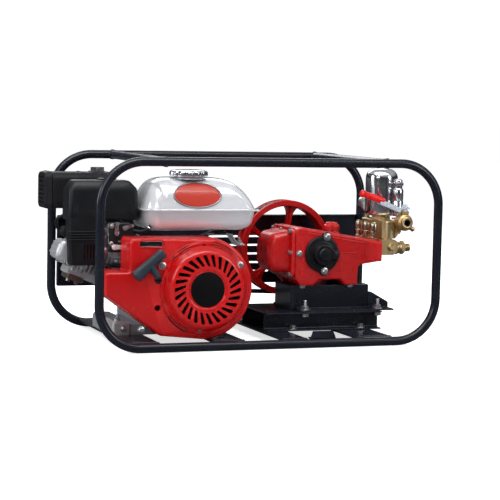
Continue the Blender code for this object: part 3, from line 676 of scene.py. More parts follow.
def buildWorld():
    # a pale studio: bright overhead, a darker band near the horizon that glossy pieces pick up
    world = bpy.data.worlds.new("studio")
    bpy.context.scene.world = world
    world.use_nodes = True
    tree = world.node_tree
    link = tree.links.new
    place = addNode(tree, "ShaderNodeTexCoord")
    split = addNode(tree, "ShaderNodeSeparateXYZ")
    ramp = addNode(tree, "ShaderNodeValToRGB")
    ramp.color_ramp.elements[0].position = 0.0
    ramp.color_ramp.elements[0].color = (0.80, 0.80, 0.82, 1)
    ramp.color_ramp.elements[1].position = 1.0
    ramp.color_ramp.elements[1].color = (0.85, 0.86, 0.88, 1)
    for at, shade in ((0.49, 0.62), (0.515, 0.05), (0.60, 0.07), (0.68, 0.55), (0.80, 0.95)):
        stop = ramp.color_ramp.elements.new(at)
        stop.color = (shade, shade, shade * 1.03, 1)
    lift = addNode(tree, "ShaderNodeMapRange")
    lift.inputs["From Min"].default_value = -1.0
    seen = addNode(tree, "ShaderNodeLightPath")
    mix = addNode(tree, "ShaderNodeMix", {"data_type": "RGBA"})
    mix.inputs[7].default_value = (2.1, 2.1, 2.1, 1)
    link(place.outputs["Generated"], split.inputs[0])
    link(split.outputs["Z"], lift.inputs["Value"])
    link(lift.outputs[0], ramp.inputs[0])
    link(seen.outputs["Is Camera Ray"], mix.inputs[0])
    link(ramp.outputs[0], mix.inputs[6])
    link(mix.outputs[2], tree.nodes["Background"].inputs["Color"])
    tree.nodes["Background"].inputs["Strength"].default_value = 0.5


buildWorld()
print("studio ready")

# ---- carrying frame

tube = {"length": 741.0, "height": 376.0, "corner": 88.6, "radius": 9.5, "y": 206.0, "bead": 1.9}
loopTop = tube["radius"] + tube["height"]
crossTubes = {"left": -235.0, "right": 250.0}
rails = {"engineLeft": (-308, -240), "engineRight": (-125, -57), "pumpLeft": (27, 82),
         "pumpRight": (194, 274)}
railNodes = {"engineLeft": "engine_rail_left", "engineRight": "engine_rail_right",
             "pumpLeft": "pump_rail_left", "pumpRight": "pump_rail_right"}
railSize = {"low": 13.7, "high": 18.7, "reach": 196.2}


def saddleBead(x, side):
    # the weld where a cross tube meets a loop's top tube
    points = []
    r = tube["radius"]
    for k in range(48):
        a = 2 * math.pi * k / 48
        ripple = 0.25 * math.sin(a * 15)
        out = math.sqrt(max(r * r - (r * math.sin(a))**2, 0.0))
        points.append((x + (r + ripple) * math.cos(a), side * (tube["y"] - out - 1.0),
                       loopTop + r * math.sin(a)))
    return swept(points, tube["bead"], 8, closed=True)


def beadLine(start, end, radius=2.2):
    # a straight run of weld with its ripples
    start, end = Vector(start), Vector(end)
    count = max(int((end - start).length / 2), 4)
    points = [start.lerp(end, k / count) for k in range(count + 1)]
    sizes = [radius * (1 + 0.14 * (-1)**k) * (0.5 if k in (0, count) else 1) for k in range(count + 1)]
    return swept(points, radius, 10, radii=sizes)


def buildFrame():
    half = tube["length"] / 2
    outline = rounded(rectangle((-half, half), (tube["radius"], loopTop), tube["corner"]), 22)
    for name, node, side in (("loopFront", "frame_loop_front", -1), ("loopRear", "frame_loop_rear", 1)):
        path = [(x, side * tube["y"], z) for x, z in outline]
        piece(name, swept(path, tube["radius"], 32, closed=True), finishes["frameBlack"],
              node=node)
    beads = []
    for name, x in crossTubes.items():
        y = tube["y"] - 6
        piece("crossTube" + name.title(), rod((x, -y, loopTop), (x, y, loopTop), tube["radius"], 32),
              finishes["frameBlack"], node="top_cross_tube_" + name)
        beads += [saddleBead(x, -1), saddleBead(x, 1)]
    low, high, end = railSize["low"], railSize["high"], railSize["reach"] + 4
    for name, (left, right) in rails.items():
        middle = (left + right) / 2
        holes = [rod((middle, y, low - 1), (middle, y, high + 1), 5.5, 24) for y in (-150, 150)]
        piece(name + "Rail", prism(rounded(rectangle((left, right), (-end, end), 1.5), 3), "Z", low, high),
              finishes["frameBlack"], node=railNodes[name], cut=holes, bevel=0.8)
        for side in (-1, 1):
            y = side * (railSize["reach"] + 0.3)
            beads.append(beadLine((left + 1, y, high), (right - 1, y, high)))
    piece("frameWelds", merged(*beads), finishes["frameBlack"])


guard = {"low": 94.0, "high": 251.0, "front": 190.0, "back": 200.0, "sheet": 2.0, "bend": 2.5,
         "slotsX": (-60, 140), "slotsZ": (121, 141, 161, 181, 201)}


def buildGuard():
    # a folded sheet panel with five breathing slots and short weld beads at its sides
    g = guard
    side = half = tube["length"] / 2 - tube["radius"] - 0.5
    low, high, front, back, t = g["low"], g["high"], g["front"], g["back"], g["sheet"]
    slots = [prism(rounded(rectangle(g["slotsX"], (z - 2.0, z + 2.0), 1.9), 4), "Y", front, back + 1)
             for z in g["slotsZ"]]
    outer = lofted([(back, (-side, side), (low, high), 3), (front + 2, (-side, side), (low, high), 3),
                    (front, (-side + 0.6, side - 0.6), (low + 0.6, high - 0.6), 3)][::-1], 4, "Y")
    pan = box((-half + t, half - t), (back - 30, back - t), (low + t, high - t))
    beads = [beadLine((s * (side - 0.5), front + 3, z - 9), (s * (side - 0.5), front + 3, z + 9))
             for s in (-1, 1) for z in (low + 22, high - 22)]
    piece("beltGuardPanel", outer, finishes["frameBlack"], node="rear_guard",
          cut=[pan, *slots],
          bevel=0.7, extra=beads)


buildFrame()
buildGuard()
print("frame ready")

# ---- engine: fan shroud and starter

shroud = {"front": -165.0, "back": -95.0, "arc": 106.0, "wall": 3.0, "edge": 7.0}
recoil = {"front": -190.0, "radius": 94.0, "slots": 26, "slotIn": 48.0, "slotOut": 72.0, "slotLean": 10.0,
          "disc": 35.5, "ribs": ((111, 128, 3), (50, 82, 3), (132, 139, 3), (214, 248, 3))}
coverBolts = ((-63, 172), (-148, 42), (-230, 173))
xC, zC = crank.x, crank.z


def shroudOutline(i):
    left = rounded([(xC, 20 + i, 0), (-228, 27 + i, 10), (-346 + i, 113 + i * 0.6, 12),
                    (-346 + i, 160 - i, 5),
                    (-296 + i, 160 - i, 5), (-296 + i, 228 - i, 8), (-116, 228 - i, 0)], 6)
    return arc((xC, zC), shroud["arc"] - i, 78, -90, 40) + left[1:]


def cupShape(outline, rows, inner):
    # an open-backed shell: outer rows from the back rim to the front, then the hollow's rows
    bm = bmesh.new()
    rings = [[bm.verts.new((a, y, b)) for a, b in outline(inset)] for y, inset in rows + inner[::-1]]
    joined(bm, rings[:len(rows)])
    joined(bm, rings[len(rows):])
    bm.faces.new(rings[len(rows) - 1])
    bm.faces.new(rings[len(rows)])
    joined(bm, [rings[0], rings[-1]])
    bmesh.ops.recalc_face_normals(bm, faces=bm.faces)
    return bm


def arcRib(radius, start, end, y, thick):
    points = [(xC + radius * math.cos(a), y, zC + radius * math.sin(a))
              for a in (math.radians(start + (end - start) * k / 14) for k in range(15))]
    return swept(points, thick, 10, radii=[thick * (0.35 if k in (0, 14) else 1) for k in range(15)])


def buildShroud():
    f, b, e, w = shroud["front"], shroud["back"], shroud["edge"], shroud["wall"]
    curve = [(f + e - e * math.sin(a),
              e - e * math.cos(a)) for a in (math.radians(90 * k / 6) for k in range(7))]
    rows = [(b, 0.0)] + [(y, inset) for y, inset in curve]
    inner = [(b, w), (f + e + 1, w), (f + w, w + e)]
    port = rod((xC, f - 4, zC), (xC, f + 12, zC), 84, 72)
    slot = prism(rounded(rectangle((-276, -227), (211.5, 222), 4.6), 5), "Y", f - 2, f + 12)
    dimple = turned([(7.5, 0), (4.5, 5), (4.5, 12)], (-236, f - 0.2, 85), (0, 1, 0), 28)
    lip = smoothRoute([(-341, f + 5, 117), (-290, f + 3.4, 79.5), (-236, f + 4.4, 39)], 8)
    collar = turned([(98.6, 6), (98.6, 0.8), (97.8, -0.4), (96.6, -0.8), (95.4, -0.4), (95, 0.8), (95, 6)],
                    (xC, f, zC), (0, 1, 0), 96, ring=True)
    frameRing = [(x * 1.0, f - 1.0, z) for x, z in rounded(rectangle((-279, -224), (209, 224.5), 6.5), 6)]
    piece("fanShroud", cupShape(shroudOutline, rows, inner), finishes["engineRed"],
          node="fan_cover",
          cut=[port, slot, dimple],
          extra=[swept(frameRing, 1.2, 8, closed=True), swept(lip, 2.2, 12), collar,
                 turned([(9.5, 2), (9.5, 0), (8.6, -0.9), (7.6, -0.4), (7.5, 2)], (-236, f, 85), (0, 1, 0),
                        28,
                        ring=True)])
    # a black plate closing the switch slot from behind is painted shade inside the slot
    slotShade = prism(rounded(rectangle((-275.5, -227.5), (212, 221.5), 4.2), 5), "Y", f + 2, f + 3.5)
    lever = box((-273, -259), (f - 4.6, f + 2.4), (213.6, 220.4))
    piece("switchSlotShade", slotShade, finishes["plasticBlack"], bevel=0.5)
    grooves = [box((x, x + 1.1), (f - 6, f - 3.6), (212, 222)) for x in (-270.5, -267.5, -264.5, -261.5)]
    piece("engineSwitch", lever, finishes["plasticBlack"], body="engine_switch",
          node="engine_switch", cut=grooves, bevel=0.7)


def buildRecoil():
    r = recoil
    start = shroud["front"] - 0.3
    depth = start - r["front"]
    dome = [(r["radius"] + 2, -4), (r["radius"] + 2, 2.5), (r["radius"] + 0.6, 4), (r["radius"] - 5, 5),
            (88, 8),
            (84.5, 13), (82.5, depth - 8), (80, depth - 4), (76, depth - 1.4), (72, depth - 0.3),
            (66, depth),
            (44, depth), (41, depth - 0.8), (39, depth - 2.2), (36.6, depth - 2.4)]
    back = [(36.6, depth - 5), (72, depth - 3.4), (77, depth - 6), (79.5, depth - 10), (81, 12), (85, 3),
            (88, -4)]
    slots = []
    for k in range(r["slots"]):
        a = 360 * k / r["slots"] + 4
        lean = r["slotLean"]
        outline = rounded([(*p, 2.2) for p in
                           [*arc((xC, zC), r["slotOut"], a - 3.5 + lean, a + 3.7 + lean, 1),
                            *arc((xC, zC), r["slotIn"], a + 3.7, a - 3.7, 1)]], 4)
        slots.append(prism(outline, "Y", r["front"] - 3, r["front"] + 8))
    ears = [turned([(11.5, -3), (11.5, 5), (10, 6.6), (0, 6.6)], (x, start, z), (0, -1, 0), 32)
            for x, z in coverBolts]
    # the ribs are red; the black strips laid in the grooves between them are painted shade
    ribs, grooveShade = [], []
    for first, last, count in r["ribs"]:
        for k in range(count):
            ribs.append(arcRib(85.6 + 4.2 * k, first + k * 0.6, last - k * 0.6, start - 8.4 + 2.1 * k, 1.5))
            grooveShade.append(arcRib(87.7 + 4.2 * k, first + k * 0.6, last - k * 0.6, start - 6.6 + 2.1 * k, 1.2))
    pocket = turned([(6.5, 0), (5, 5), (0, 5)], (xC - 4, start - 5.2, zC + 89), (0, 1, 0), 3)
    piece("recoilCover", turned(dome + back, (xC, start, zC), (0, -1, 0), 104, ring=True),
          finishes["engineRed"],
          node="recoil_cover", add=ears, cut=[merged(*slots), pocket], bevel=0.55, segments=2,
          extra=ribs)
    piece("recoilGrooveShade", merged(*grooveShade), finishes["inkBlack"])
    disc = [(r["disc"] + 1.5, 0), (r["disc"] + 1.5, 1.6), (r["disc"] + 0.4, 2.6), (r["disc"] - 1, 3),
            (12, 3.5),
            (0, 3.6)]
    piece("recoilBadge", turned(disc, (xC, r["front"] + 4.4, zC), (0, -1, 0), 72), finishes["inkBlack"])
    # a solid dark ring behind the starter slots is painted shade standing in for the dark inside the cover,
    # with thin radial wires on it
    shadeScreen = [turned([(46.5, 0), (80, 0), (80, 1.2), (46.5, 1.2)], (xC, r["front"] + 21, zC), (0, 1, 0), 60,
                     ring=True)]
    for k in range(52):
        turn = Matrix.Translation((xC, 0, zC)) @ Matrix.Rotation(2 * math.pi * k / 52, 4, "Y")
        shadeScreen.append(moved(softRod((47, r["front"] + 20, 0), (79, r["front"] + 20, 0), 0.8, 0.3, 8), turn))
    piece("shadeBackedScreen", merged(*shadeScreen), finishes["mufflerBlack"], body="engine_rotor")
    boltSet("shroudBolts", [{"at": (x, start - 6.4, z), "axis": (0, -1, 0), "across": 9.5, "tall": 4.4}
                            for x, z in coverBolts]
            + [{"at": (-271, shroud["front"] + 1.5, 41), "axis": (0, -1, 0), "across": 9.5, "tall": 4.4}],
            finishes["zincSteel"])


def buildGrip():
    y = -179.5
    start, end = Vector((-290, y, 149.6)), Vector((-229.5, y, 201.4))
    length = (end - start).length
    profile = [(0, 0), (4.8, 0.2), (8.2, 1.3), (9.8, 3.6), (10.2, 7), (9.6, 18), (8.8, length / 2),
               (8.5, length - 18), (8.8, length - 6), (8.3, length - 2.8), (6.8, length - 1),
               (4, length - 0.1),
               (0, length)]
    bar = turned(profile, (0, 0, 0), (0, 0, 1), 40)
    along = (end - start).normalized()
    across = Vector((0, 1, 0)).cross(along)
    flat = Matrix((Vector((0, 1, 0)), across * 1.28, along)).transposed().to_4x4()
    bar.transform(Matrix.Translation(start) @ flat)
    middle = start.lerp(end, 0.52)
    foot = Vector((-239.5, y, 147.5))
    stem = turned([(8.6, 0), (8.2, 8), (7.4, 18), (7.0, 26), (6.6, 30), (5.2, 33), (3.4, 34), (0, 34.2)],
                  middle,
                  foot - middle, 32)
    piece("starterGrip", bar, finishes["plasticSlate"], body="recoil_grip",
          node="recoil_grip",
          add=[stem], bevel=0.5)
    eyelet = (-236.5, shroud["front"] - 0.5, 143)
    piece("ropeEyelet",
          turned([(3.4, 6), (3.4, -3), (4.2, -4.2), (6.2, -4.6), (7.4, -3.4), (7.6, 0), (7.6, 6)], eyelet,
                               (0, 1, 0), 36, ring=True), finishes["plasticBlack"])
    tip = foot + (foot - middle).normalized() * -1.0
    inside = Vector((eyelet[0], shroud["front"] + 7, eyelet[2]))
    route = smoothRoute([inside, Vector(eyelet) + Vector((0, -3, 0)),
                         Vector(eyelet) + Vector((-0.6, -9, 1.4)), tip], 10)
    strand = swept(route, 2.1, 12)
    rope = piece("starterRope", strand, finishes["rubberBlack"], body=None)
    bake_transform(rope)


def buildTrims():
    # the starter reel seen through the slots
    x, z = xC, zC
    spool = [(8, 0), (46, 0), (46, 3), (38, 4), (38, 9), (46, 10), (46, 13), (8, 13)]
    piece("starterReel", turned(spool, (x, recoil["front"] + 4.5, z), (0, 1, 0), 64, ring=True),
          finishes["plasticBlack"], body="recoil_reel", node="recoil_reel", bevel=0.6)


buildShroud()
buildRecoil()
buildGrip()
buildTrims()
print("shroud and starter ready")

# ---- fuel tank

tank = {"x": (-246.0, -6.0), "y": (-110.0, 60.0), "seam": (279.2, 282.8), "cap": (-138.0, -50.0),
        "badge": (-133.0, 311.5, 52.0, 25.5), "scallops": 14,
        "nearCorner": 20.0}


def tankRing(height, draw, radius, side=None):
    # draw is how far the front and back lean in, and side how far the right end does
    (x1, x2), (y1, y2) = tank["x"], tank["y"]
    side = draw if side is None else side
    left, right = x1 + 4 + side * 0.62, x2 + 4 - side
    front, back = y1 + 4 + draw, y2 - 4 - draw
    near = min(radius, tank["nearCorner"] + draw * 0.8)
    return height, [(left, front, radius), (right, front, near), (right, back, near), (left, back, radius)]


def stacked(rings, steps):
    # outlines with rounded corners joined in order
    bm = bmesh.new()
    rows = [[bm.verts.new((a, b, height)) for a, b in rounded(corners, steps)] for height, corners in rings]
    return capped(bm, rows)


def buildTank():
    pan = [tankRing(238, 22, 22), tankRing(239, 17, 26), tankRing(242, 11.5, 32), tankRing(247, 7, 36),
           tankRing(254, 4.4, 38), tankRing(265, 2.2, 39), tankRing(276, 0.7, 39), tankRing(279, 0.4, 39)]
    upper = [tankRing(282.8, 0.4, 39, 0.4), tankRing(287, 1.4, 39, 2.0), tankRing(293, 2.9, 39, 4.6),
             tankRing(300, 4.7, 39, 8.0), tankRing(307, 7.0, 39, 12), tankRing(314, 9.8, 38, 16.4),
             tankRing(321, 13.4, 37, 21.8), tankRing(328, 18.2, 36, 28.5), tankRing(334, 24.0, 34, 36),
             tankRing(339, 31, 31, 45), tankRing(343, 40, 28, 56), tankRing(345.6, 52, 24, 69),
             tankRing(347, 68, 15, 86)]
    (x1, x2), (y1, y2) = tank["x"], tank["y"]
    lowSeam, highSeam = tank["seam"]
    lip = prism(rounded([(x1 - 1, y1 - 2.6, 42), (x2 + 10.5, y1 - 2.6, 9), (x2 + 10.5, y2 + 2.6, 9),
                         (x1 - 1, y2 + 2.6, 42)], 14), "Z", lowSeam, highSeam)
    capX, capY = tank["cap"]
    neck = turned([(37, 344), (34, 346.4), (31, 347.4), (30, 348.4), (30, 349.4), (26, 349.4), (26, 343)],
                  (capX, capY, 0), (0, 0, 1), 64, ring=True)
    body = fused("tankShell", stacked(pan + upper, 14), (lip,))
    bevel = body.modifiers.new("edge", "BEVEL")
    bevel.width = 0.0014
    bevel.segments = 3
    bevel.limit_method = "ANGLE"
    bevel.angle_limit = math.radians(45)
    bake(body)
    whole = bmesh.new()
    whole.from_mesh(body.data)
    whole.transform(Matrix.Scale(1000, 4) @ Matrix.Translation((-midX / 1000, 0, 0)))
    bpy.data.objects.remove(body)
    shell = piece("fuelTank", whole, finishes["tankSilver"], node="fuel_tank", extra=[neck])

    def onTank(x, z, lift):
        # where a line along Y from the front meets the tank
        start = Vector((x + midX, -300, z)) / 1000
        _, place, normal, _ = shell.ray_cast(start, Vector((0, 1, 0)))
        place = place * 1000 - Vector((midX, 0, 0)) + normal * lift
        return place

    cx, cz, a, b = tank["badge"]
    plate = bmesh.new()
    rings = []
    for share, lift in ((1.0, -0.6), (1.0, 0.6), (0.965, 1.1), (0.8, 1.15), (0.55, 1.2), (0.28, 1.25)):
        ring = [onTank(cx + a * share * math.cos(2 * math.pi * k / 72),
                       cz + b * share * math.sin(2 * math.pi * k / 72),
                       lift) for k in range(72)]
        rings.append([plate.verts.new(point) for point in ring])
    joined(plate, rings)
    middle = plate.verts.new(onTank(cx, cz, 1.25))
    for k in range(72):
        plate.faces.new((rings[-1][k], rings[-1][(k + 1) % 72], middle))
    plate.faces.new(rings[0][::-1])
    bmesh.ops.recalc_face_normals(plate, faces=plate.faces)
    piece("tankBadge", plate, finishes["badgeOrange"])
    hoop = [onTank(cx + a * 0.99 * math.cos(2 * math.pi * k / 96),
                   cz + b * 0.98 * math.sin(2 * math.pi * k / 96), 1.0)
            for k in range(96)]
    piece("badgeRing", swept(hoop, 1.7, 12, closed=True), finishes["machinedSteel"])
    return shell


def capShape(outer, low, high, scallops, depth):
    # a cap's skirt whose edge is scalloped all round
    bm = bmesh.new()
    steps = scallops * 8
    capX, capY = tank["cap"]
    profile = [(0.80, low + 1.0, 0), (0.86, low, 0.3), (0.96, low + 0.4, 1), (1.0, low + 2.5, 1),
               (1.0, low + 7, 1),
               (0.985, low + 9.4, 0.9), (0.93, high - 2.6, 0.35), (0.86, high - 1.4, 0),
               (0.6, high - 0.5, 0),
               (0.3, high - 0.1, 0)]
    rings = []
    for share, height, wave in profile:
        ring = []
        for k in range(steps):
            a = 2 * math.pi * k / steps
            dip = depth * wave * (0.5 - 0.5 * math.cos(a * scallops)) ** 2
            ring.append(bm.verts.new((capX + (outer * share - dip) * math.cos(a),
                                      capY + (outer * share - dip) * math.sin(a), height)))
        rings.append(ring)
    for under, over in zip(rings, rings[1:]):
        for k in range(steps):
            j = (k + 1) % steps
            bm.faces.new((under[k], under[j], over[j], over[k]))
    bm.faces.new(rings[0][::-1])
    bm.faces.new(rings[-1])
    bmesh.ops.recalc_face_normals(bm, faces=bm.faces)
    return bm


def buildTankFittings():
    piece("fuelCap", capShape(41, 349.6, 364, tank["scallops"], 3.2), finishes["chromePlate"],
          body="fuel_cap", node="fuel_cap")
    stay = [(-98, 229.5), (-50, 229.5), (-36, 207.5), (-20, 207.5), (-20, 204.5), (-38, 204.5),
            (-52, 226.5),
            (-98, 226.5)]
    pad = turned([(10, 0), (13, 1.5), (11, 4.5), (13, 7.5), (10, 9.4)], (-72, -68, 228), (0, 0, 1), 32)
    piece("tankBracket", prism(rounded([(*p, 1.2) for p in stay], 3), "Y", -85, -51), finishes["zincSteel"],
          node="tank_bracket", bevel=0.6,
          cut=[rod((-29, -68, 200), (-29, -68, 212), 4.2, 24)],
          extra=boltShapes((-29, -68, 207.4), (0, 0, 1), 11, 5.5, stud=7))
    piece("tankMountRubber", pad, finishes["rubberBlack"])
    # petcock hose and its clips under the tank
    route = smoothRoute([(-232, -86, 247), (-240, -90, 240), (-252, -86, 236), (-268, -77, 238),
                         (-281, -71, 240)], 10)
    piece("fuelHose", swept(route, 3.6, 16), finishes["rubberBlack"])
    clips = [turned([(3.7, -1.5), (4.6, -1.5), (4.6, 1.5), (3.7, 1.5)], route[i],
                    route[i + 1] - route[i - 1], 24,
                    ring=True) for i in (6, 34)]
    piece("hoseClips", merged(*clips), finishes["zincSteel"])


buildTank()
buildTankFittings()
print("tank ready")

# ---- air cleaner, carburettor and controls

air = {"x": (-399.0, -249.0), "y": (-64.0, 0.0), "seam": 281.0}


def buildAirCleaner():
    (x1, x2), (y1, y2) = air["x"], air["y"]
    s = air["seam"]
    lid = [(s, (x1, x2), (y1, y2), 9), (s + 1, (x1, x2), (y1, y2), 9),
           (318, (x1 + 1.2, x2 - 1.6), (y1 + .6, y2 - .6), 10),
           (324, (x1 + 2.6, x2 - 3.6), (y1 + 1.6, y2 - 1.6), 10),
           (336.5, (x1 + 10, x2 - 15), (y1 + 8, y2 - 8), 9),
           (339.2, (x1 + 12.4, x2 - 18.5), (y1 + 10.5, y2 - 10.5), 8),
           (340, (x1 + 15.5, x2 - 22), (y1 + 13, y2 - 13), 7)]
    piece("airCleanerCover", lofted(lid, 8), finishes["plasticBlack"],
          node="air_cleaner_cover",
          extra=[turned([(9, -3), (9, 1.5), (8, 3.4), (5, 4), (0, 4)], ((x1 + x2) / 2, (y1 + y2) / 2, 340),
                        (0, 0, 1), 6)])
    shelf = [(258, (x1 + 2, x2 - 5), (y1 + 2, y2 - 1), 8), (262, (x1, x2 - 3), (y1, y2), 9),
             (s - 0.6, (x1, x2), (y1, y2), 9)]
    low = [(164, (-391, -331), (y1 + 6, y2 - 32), 5), (166, (-394, -328), (y1 + 3.5, y2 - 30), 6),
           (231, (-397, -324), (y1 + 2, y2 - 30), 6), (235, (-398, -322), (y1, y2 - 30), 6),
           (262, (-398, -322), (y1, y2 - 30), 6)]
    ribs = []
    for z in (217, 222.5, 228, 233.5):
        ribs.append(lofted([(z, (-398.6, -322), (y1 - 0.4, y2 - 30), 6),
                            (z + 0.9, (-399, -321.6), (y1 - 0.8, y2 - 30), 6),
                            (z + 1.8, (-398.6, -322), (y1 - 0.4, y2 - 30), 6)], 4))
    slits = [box((x, x + 3.2), (y1 - 2, y1 + 9), (178, 208)) for x in (-366, -359.5, -353, -346.5)]
    piece("airCleanerCase", lofted(low, 6), finishes["plasticBlack"],
          node="air_cleaner_housing",
          add=[lofted(shelf, 8)], cut=slits, bevel=0.5, extra=ribs)
    piece("seamGasket", lofted([(s - 0.7, (x1 + .8, x2 - .8), (y1 + .8, y2 - .8), 8),
                                (s + 0.2, (x1 + .8, x2 - .8), (y1 + .8, y2 - .8), 8)], 6),
          finishes["rubberBlack"])
    clips = [box((x - 5, x + 5), (y1 - 1.6, y1 + 1), (272, 290)) for x in (-384, -264)]
    piece("coverClips", merged(*clips), finishes["plasticBlack"], bevel=0.8)
    # a dark red sheet behind the slits is a painted glint, the reddish gleam seen in them
    piece("slitGlintSheet", box((-368, -342), (y1 + 8, y1 + 9.5), (178, 208)), finishes["slitGlintRed"])
    boltSet("airCleanerBolts", [{"at": (-330, y1 + 2.4, 180), "axis": (0, -1, 0), "across": 8, "tall": 4}],
            finishes["zincSteel"])


controls = {"plateY": (-84.0, -81.0), "leverY": -87.3}


def flatLever(pivot, tip, width, y, thick):
    (px, pz), (tx, tz) = pivot, tip
    lean = math.degrees(math.atan2(tz - pz, tx - px))
    outline = [*arc(pivot, width / 2 + 2, lean + 90, lean + 270, 14),
               *arc(tip, width / 2, lean - 90, lean + 90, 14)]
    return prism(outline, "Y", y, y + thick)


def buildCarburettor():
    f, b = controls["plateY"]
    body = lofted([(206, (-312, -266), (-54, -24), 5), (210, (-316, -262), (-58, -20), 6),
                   (230, (-314, -264), (-57, -21), 9),
                   (234, (-314, -264), (-57, -21), 9), (248, (-316, -262), (-58, -20), 6),
                   (252, (-312, -266), (-54, -24), 5)], 6)
    bowl = turned([(3, 174), (6, 176), (12, 177), (17, 181), (18, 186), (18, 203), (20.5, 204), (20.5, 208),
                   (14, 210)],
                  (-289, -40, 0), (0, 0, 1), 48)
    throat = turned([(19, 0), (19, 4), (15, 5), (15, 30)], (-289, -39, 232), (0, 1, 0), 40)
    inlet = rod((-330, -38, 236), (-300, -38, 236), 13, 32)
    piece("carburettor", body, finishes["castAluminium"], node="carburettor",
          add=[bowl, throat, inlet],
          bevel=0.6,
          extra=[softRod((-289, -58, 218), (-289, -66, 218), 4.5),
                 softRod((-274, -58, 240), (-274, -64, 240), 4),
                            *boltShapes((-304, -58, 244), (0, -1, 0), 7, 3.5),
                 *boltShapes((-289, -40, 174), (0, 0, -1), 9, 4)])
    plate = prism(rounded([(-319, 196, 4), (-262, 196, 4), (-262, 226, 5), (-272, 252, 5), (-319, 252, 4)],
                          5), "Y", f, b)
    holes = [prism(rounded(rectangle((-299, -282), (214, 219), 2.4), 5), "Y", f - 2, b + 2),
             rod((-270, f - 2, 208), (-270, b + 2, 208), 3, 20)]
    arm = prism(rounded(rectangle((-300, -280), (240, 246), 1), 2), "Y", b - 0.5, -56)
    piece("controlPlate", plate, finishes["mufflerBlack"], cut=holes, bevel=0.5,
          extra=[arm, prism(rounded(rectangle((-319, -262), (193, 196.5), 1.5), 3), "Y", f, -62),
                 softRod((-308, b, 204), (-308, b + 20, 204), 4)])
    y = controls["leverY"]
    finish = finishes["tankSilver"]
    throttle = flatLever((-308, 204), (-277, 204), 7, y, 2.6)
    pad = lofted([(y - 3.4, (-286, -270), (200.4, 207.8), 3.2),
                  (y - 1, (-287, -269.2), (199.9, 208.2), 3.6),
                  (y + 1, (-287, -269.2), (199.9, 208.2), 3.6),
                  (y + 3.0, (-286, -270), (200.4, 207.8), 3.2)], 5, "Y")
    piece("throttleLever", throttle, finish, body="throttle_lever", node="throttle_lever",
          bevel=0.5,
          extra=[pad, *boltShapes((-308, y, 204), (0, -1, 0), 7, 2.4)])
    choke = flatLever((-286, 243), (-271, 248.5), 5.4, y, 2.2)
    piece("chokeLever", choke, finishes["zincSteel"], body="choke_lever", node="choke_lever",
          bevel=0.4,
          extra=[softRod((-271, y + 1.5, 248.5), (-271, y - 4.5, 248.5), 3.3),
                 *boltShapes((-286, y, 243), (0, -1, 0), 6, 2)])
    cock = flatLever((-303, 232), (-303, 252), 6, y, 2.2)
    piece("fuelCockLever", cock, finishes["zincSteel"], body="fuel_cock_lever",
          node="fuel_cock_lever",
          bevel=0.4,
          extra=[softRod((-303, y + 1.5, 252), (-303, y - 4, 252), 4),
                 softRod((-303, y, 232), (-303, y - 3, 232), 3.4)])


def buildLinkage():
    # governor rod and spring, choke rod, idle screw and their small bright ends, all on the engine
    governor = [(-322, -70, 224), (-305, -70, 225), (-294, -71, 227), (-279, -71, 226), (-262, -70, 221)]
    choke = [(-314, -74, 238), (-300, -75, 233), (-288, -76, 232), (-276, -75, 237), (-268, -74, 246)]
    steel = [swept(smoothRoute(governor, 6), 1.3, 10), swept(smoothRoute(choke, 6), 1.2, 10)]
    hairpin = [(-292, -77, 223), (-288, -78, 231), (-283, -78, 233.5), (-278, -78, 231), (-274, -77, 222)]
    steel.append(swept(smoothRoute(hairpin, 8), 1.3, 10))
    steel.append(coil((-318, -72, 213), (-290, -74, 213), 2.8, 0.7, 12))
    steel.append(coil((-281, -66, 240), (-281, -76, 240), 2.6, 0.6, 5))
    for at in ((-322, -70, 224), (-294, -71, 227), (-262, -70, 221), (-314, -74, 238), (-288, -76, 232)):
        steel.append(softRod(Vector(at) + Vector((0, 3, 0)), Vector(at) + Vector((0, -4, 0)), 3.0, 0.6, 16))
    piece("governorLinkage", merged(*steel), finishes["zincSteel"])
    arm = prism(rounded([(-326, 190, 3), (-318, 190, 3), (-317, 228, 3), (-324, 228, 3)], 4), "Y", -72,
                -69.6)
    piece("governorArm", arm, finishes["machinedSteel"], bevel=0.3)
    boltSet("carburettorScrews", [
        {"at": (-313, -84, 247), "axis": (0, -1, 0), "across": 6, "tall": 3},
        {"at": (-314, -84, 211), "axis": (0, -1, 0), "across": 6, "tall": 3},
        {"at": (-322, -72, 196), "axis": (0, -1, 0), "across": 8, "tall": 4},
    ], finishes["zincSteel"])
    rack = box((-322, -286), (-78, -62), (160.5, 163))
    lugs = [softRod((x, -78, 161.6), (x, -84, 161.6), 3.4, 0.5, 20) for x in (-316, -292)]
    piece("governorBase", prism(rounded(rectangle((-322, -284), (-80, -58), 4), 4), "Z", 165.0, 168.0),
          finishes["mufflerBlack"], bevel=0.5, extra=[rack, *lugs])


buildAirCleaner()
buildCarburettor()
buildLinkage()
print("air cleaner and controls ready")

# ---- engine block, head, ignition lead and muffler

tilt = math.radians(22.0)
cylinderY = 42.0


def alongCylinder(t, s, y):
    u = Vector((-math.cos(tilt), 0, math.sin(tilt)))
    v = Vector((math.sin(tilt), 0, math.cos(tilt)))
    return Vector((xC, 0, zC)) + u * t + v * s + Vector((0, y, 0))


def tiltedBox(t, s, y, radius=4.0, steps=4):
    places = [alongCylinder(a, b, 0) for a, b in rounded(rectangle(t, s, radius), steps)]
    return prism([(p.x, p.z) for p in places], "Y", *y)


def tiltedLoft(sections, steps=6):
    # rounded rectangles across the cylinder: (t, s range, y range, radius)
    bm = bmesh.new()
    rows = []
    for t, s, y, radius in sections:
        rows.append([bm.verts.new(alongCylinder(t, a, b)) for a,
                     b in rounded(rectangle(s, y, radius), steps)])
    return capped(bm, rows)


engine = {"caseFront": -92.0, "caseBack": 92.0, "feet": (-307.0, -112.0), "footTop": 49.0}


